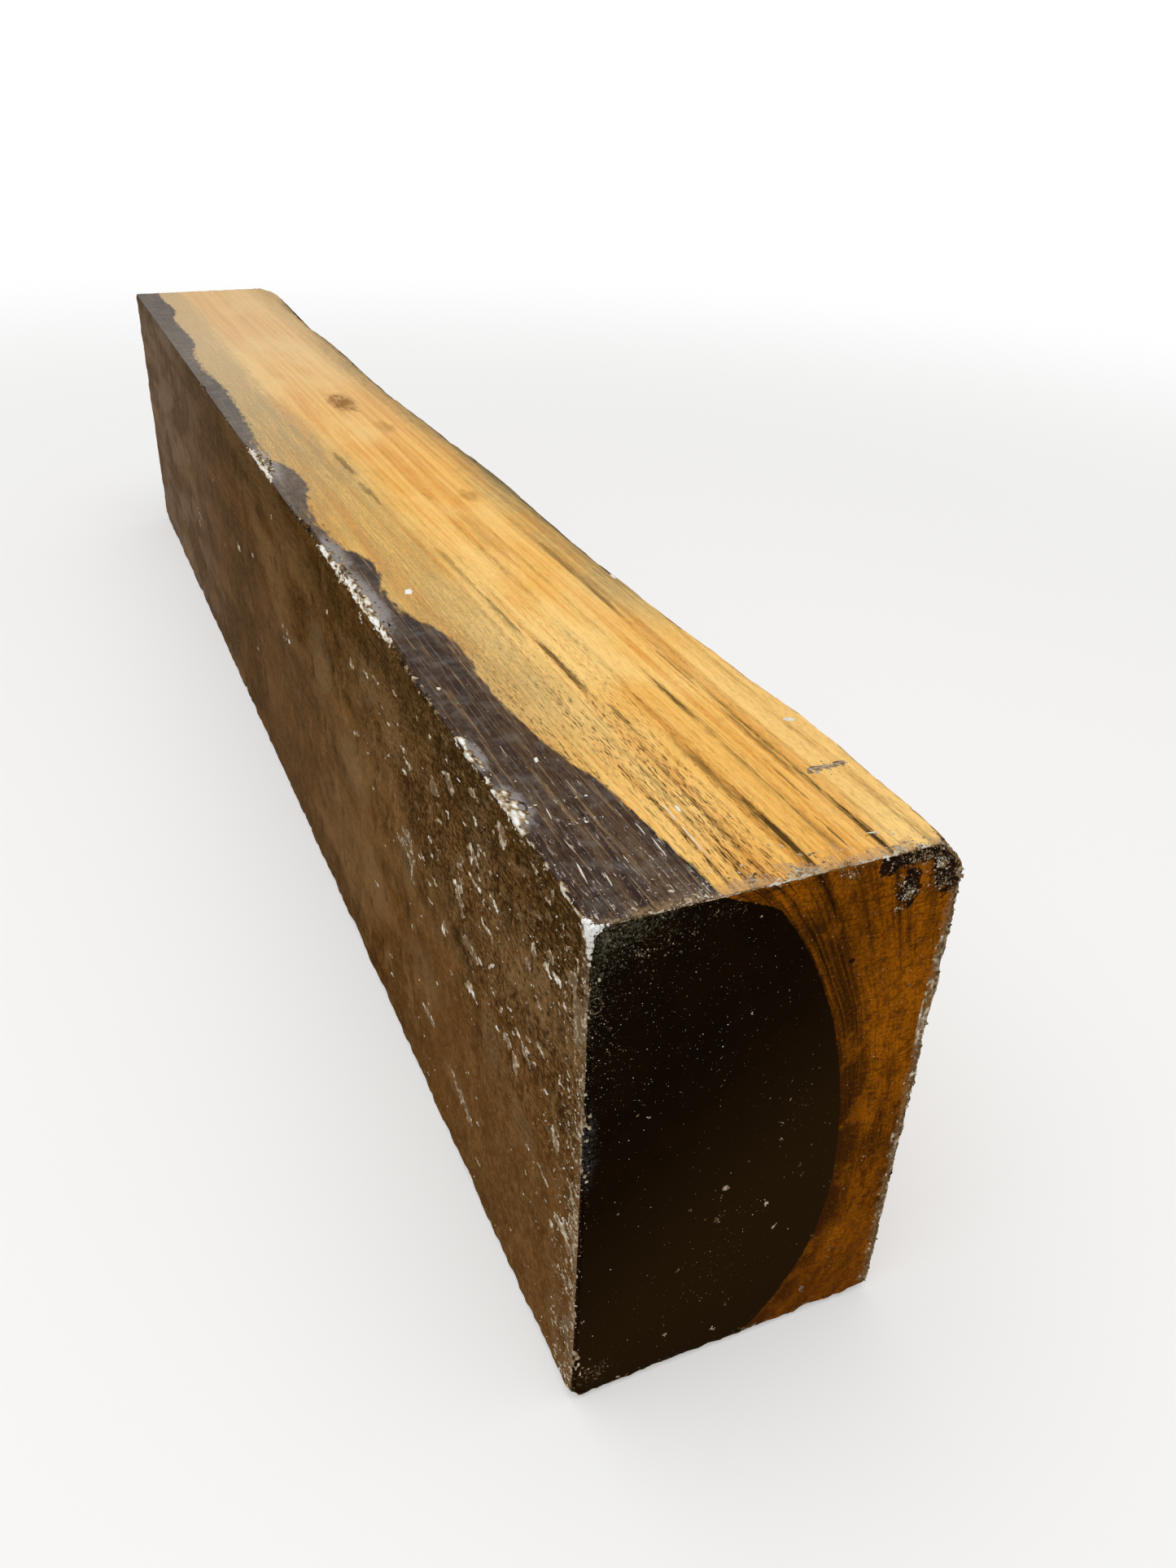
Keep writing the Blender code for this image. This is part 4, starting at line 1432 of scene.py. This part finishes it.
def makeFarEnd():
    rng = random.Random(48)
    heap = newHeap()
    look = farEnd
    a, b = makeGrid(0.9, 78.0, 0.9, 0.8, 128.0, 0.9, 31)
    cover = pattern(a, b, 2.0, 2.0, 4, 13.7) + patchwork(a, b, look["patches"]) - 0.72
    thick = 0.06 + 0.15 * np.clip(cover, 0, 1)
    addFilm(heap, "far", a, b, cover, thick, 0.4 + 0.35 * pattern(a, b, 1.2, 1.2, 3, 1.1))
    for number, (edge, fromA, toA) in enumerate(look["rims"]):
        a, s = makeGrid(fromA, toA, 0.6, -3.0, 2.4, 0.5, 40 + number)
        fine = pattern(a, s, 1.6, 1.1, 4, 6.5 + number)
        slow = pattern(a, s, 12.0, 6.0, 2, 2.5)
        cover = fine + 0.4 * slow + 0.7 * np.exp(-np.abs(s) / 1.2) - 0.45
        addFilm(heap, edge, a, s, cover, np.clip(0.08 + 0.15 * fine, 0.03, 0.4), 0.45 + 0.3 * fine)
    for _ in range(look["specks"]):
        place = rng.uniform(1, 77), rng.uniform(1, 127)
        part = crumbSize(rng, 0.06, 0.3)
        dropCrumb(heap, "far", *place, part, rng.uniform(0.35, 0.95), rng)
    finishHeap(heap, "farEndCrust", litter)


makeFarEnd()

# Wax on the top: smears, scratches and loose chips
topWax = {
    "crumbs": 420,
    # (mm along, mm across, mm long, mm wide, turn, tone)
    "chips": (
        (56, 13, 3.0, 1.0, 0.3, 0.9), (152, 15, 4.5, 3.0, 0.5, 0.95), (145, 71.5, 5, 1.2, 0.0, 0.9),
        (53.5, 72, 2.5, 3.0, 0.2, 0.85), (94, 4.5, 2, 1.2, 0.0, 0.8), (29, 31.5, 4, 0.7, 0.1, 0.9),
        (18, 29, 14, 0.35, 0.02, 0.85), (28, 29.3, 8, 0.35, 0.03, 0.85),
        (16, 5.5, 8, 0.5, 0.12, 0.8), (18, 22, 8, 0.4, 0.05, 0.8), (25, 21.5, 6, 0.35, 0.0, 0.8),
        (12, 9, 5, 0.4, 0.1, 0.75), (24, 6.8, 7, 0.3, -0.05, 0.7), (36, 7.5, 5, 0.3, 0.1, 0.8),
        (62, 8, 6, 0.3, 0.05, 0.65), (44, 15.5, 7, 0.25, 0.0, 0.6),
    ),
    # chains of grains: (mm along, from, to mm across, spread, count, tone)
    "chains": (
        (31.4, 9, 17, 0.5, 46, 0.85), (31.4, 21, 25.5, 0.4, 22, 0.8),
        (39.8, 12, 17.5, 0.4, 26, 0.85), (38.6, 9, 12, 0.5, 12, 0.7),
        (32.2, 61, 74.5, 0.9, 110, 0.5), (5.0, 1, 27, 3.4, 190, 0.62), (3.5, 27, 76, 2.6, 220, 0.5),
    ),
    # (mm along, mm across, mm long, mm wide, amount, tone)
    "smears": (
        (32.2, 64.5, 1.7, 3.0, 1.0, 0.5), (32.8, 70.5, 1.8, 4.0, 1.0, 0.46),
        (31, 12, 0.9, 3.6, 0.62, 0.8), (31, 21, 0.8, 3.4, 0.55, 0.75),
        (39, 14.5, 0.9, 3.0, 0.6, 0.8), (39, 5.5, 1.5, 3.0, 0.65, 0.72),
        (73, 46, 2.0, 1.4, 0.7, 0.62), (39, 47, 2.0, 1.2, 0.7, 0.66), (5, 47, 2.0, 6.0, 0.5, 0.48),
        (6, 10, 6, 9, 0.28, 0.6), (22, 40, 2, 1.5, 0.5, 0.6), (18, 64, 1.0, 1.4, 0.6, 0.5),
        (86, 41, 1.8, 1.0, 0.6, 0.6),
    ),
}


def makeTopWax():
    rng = random.Random(17)
    heap = newHeap()
    look = topWax

    def coat(a, b, cover, tone):
        addFilm(heap, "top", a, b, cover, 0.03 + 0.06 * np.clip(cover, 0, 1), tone)

    for along, fromAcross, toAcross, spread, count, tone in look["chains"]:
        for _ in range(count):
            place = rng.gauss(along, spread), rng.uniform(fromAcross, toAcross)
            part = crumbSize(rng, 0.08, 0.34)
            dropCrumb(heap, "top", *place, part, tone + rng.uniform(-0.25, 0.15), rng, 0.5)

    # smears, then a thin coat next to the near end: over the heartwood and over the sapwood
    a, b = makeGrid(0.9, 96.0, 0.38, 1.0, 75.0, 0.34, 51)
    smears = [patch[:5] for patch in look["smears"]]
    cover = pattern(a, b, 1.5, 0.9, 4, 12.1) + 1.35 * patchwork(a, b, smears) - 0.82
    cover = cover + 0.14 * between(26.0 - b, 0.0, 4.0) * np.exp(-a / 40.0)
    tones = [patch[:4] + (patch[5] - 0.62,) for patch in look["smears"]]
    tone = 0.62 + patchwork(a, b, tones) + 0.3 * pattern(a, b, 0.9, 0.9, 2, 4.2)
    coat(a, b, cover, tone)
    a, b = makeGrid(0.7, 18.0, 0.36, 1.0, 27.0, 0.24, 52)
    cover = pattern(a, b, 1.1, 0.5, 4, 15.3) + 0.50 * np.exp(-a / 5.0)
    cover = cover + 0.12 * np.exp(-((b - 18.0) / 7.0) ** 2) - 0.56
    coat(a, b, cover, 0.60 + 0.35 * pattern(a, b, 0.8, 0.6, 2, 7.2))
    a, b = makeGrid(0.7, 12.0, 0.36, 26.0, 75.0, 0.30, 53)
    cover = pattern(a, b, 1.4, 1.1, 4, 18.3) + 0.45 * np.exp(-a / 4.0)
    cover = cover + 0.5 * pattern(a, b, 6.0, 5.0, 2, 5.1) - 0.62
    coat(a, b, cover, 0.52 + 0.45 * pattern(a, b, 0.9, 0.7, 3, 8.2))

    for a, b, length, width, turn, tone in look["chips"]:
        addFlake(heap, "top", a, b, length, width, turn, 0.07, tone, rng)
    for _ in range(look["crumbs"]):
        a = min(rng.expovariate(1 / 60.0), 600.0) + 2
        b = rng.uniform(2, 20) if rng.random() < 0.6 else rng.uniform(20, 72)
        part = crumbSize(rng, 0.06, 0.26)
        dropCrumb(heap, "top", a, b, part, rng.uniform(0.3, 0.95), rng, 0.5)
    finishHeap(heap, "topWaxChips", litter)


makeTopWax()

# Floor, light and camera
studio = {
    "floor": seen(246, 245, 243),
    "floorSize": 16.0,
    "floorAt": -0.0004,
    "whiteFrom": 300.0,  # mm from the middle, where the floor starts to turn to white
    "whiteTo": 1300.0,
    "sky": 0.5,
    "lamp": 12.0,
    "lampSize": 1.5,
    "lampPlace": (-0.25, -0.25, 1.25),
}


# 1 to rays of these kinds, and 0 to others
def shownTo(sheet, *kinds):
    paths = sheet.node("ShaderNodeLightPath").outputs
    first, *others = [Flow(sheet, paths[kind]) for kind in kinds]
    return sum(others, first).math("MINIMUM", 1.0)


def makeStudio():
    look = studio
    bpy.ops.mesh.primitive_plane_add(size=look["floorSize"], location=(0.0, 0.0, look["floorAt"]))
    floor = bpy.context.object
    floor.name = "studioFloor"
    material, sheet = newMaterial("paleFloor")
    sheet.put(sheet.shader.inputs["Base Color"], look["floor"])
    sheet.put(sheet.shader.inputs["Roughness"], 0.9)
    sheet.put(sheet.shader.inputs["Specular IOR Level"], 0.0)
    # far away the floor turns to the white of the backdrop
    x, y, _ = sheet.place()
    away = ((x * x + y * y) ** 0.5).step(look["whiteFrom"], look["whiteTo"])
    shown = shownTo(sheet, "Is Camera Ray", "Is Glossy Ray", "Is Transmission Ray")
    share = (0.35 + 0.65 * away) * shown
    values = {"Color": (1, 1, 1, 1), "Strength": 1.0}
    white = sheet.node("ShaderNodeEmission", None, values).outputs[0]
    values = {0: share, 1: sheet.shader.outputs[0], 2: white}
    both = sheet.node("ShaderNodeMixShader", None, values).outputs[0]
    sheet.put(sheet.tree.nodes["Material Output"].inputs["Surface"], both)
    floor.data.materials.append(material)

    world = bpy.data.worlds.new("studioWorld")
    bpy.context.scene.world = world
    world.use_nodes = True
    sheet = Sheet(world.node_tree)
    shown = shownTo(sheet, "Is Camera Ray", "Is Transmission Ray")
    sky = sheet.tree.nodes["Background"]
    sheet.put(sky.inputs["Color"], (1, 1, 1, 1))
    sheet.put(sky.inputs["Strength"], look["sky"] + (1.0 - look["sky"]) * shown)

    lamp = bpy.data.lights.new("softbox", "AREA")
    lamp.energy = look["lamp"]
    lamp.size = look["lampSize"]
    stand = bpy.data.objects.new("softbox", lamp)
    stand.location = look["lampPlace"]
    stand.rotation_euler = (-stand.location).to_track_quat("-Z", "Y").to_euler()
    bpy.context.scene.collection.objects.link(stand)


makeStudio()

camera = {
    "place": (-0.11053, -0.46539, 0.25333),
    "right": (0.91356, -0.40528, 0.03409),
    "up": (0.17914, 0.47622, 0.86089),
    "back": (-0.36514, -0.78036, 0.50765),
    "lens": 28.407,
    "sensor": 36.0,
}


def makeCamera():
    data = bpy.data.cameras.new("camera")
    data.lens = camera["lens"]
    data.sensor_width = camera["sensor"]
    data.clip_start = 0.01
    eye = bpy.data.objects.new("camera", data)
    bpy.context.scene.collection.objects.link(eye)
    turn = Matrix((camera["right"], camera["up"], camera["back"])).transposed().to_4x4()
    eye.matrix_world = Matrix.Translation(camera["place"]) @ turn
    bpy.context.scene.camera = eye


makeCamera()
bpy.context.scene.view_settings.view_transform = "Standard"
print("studio and camera: done")
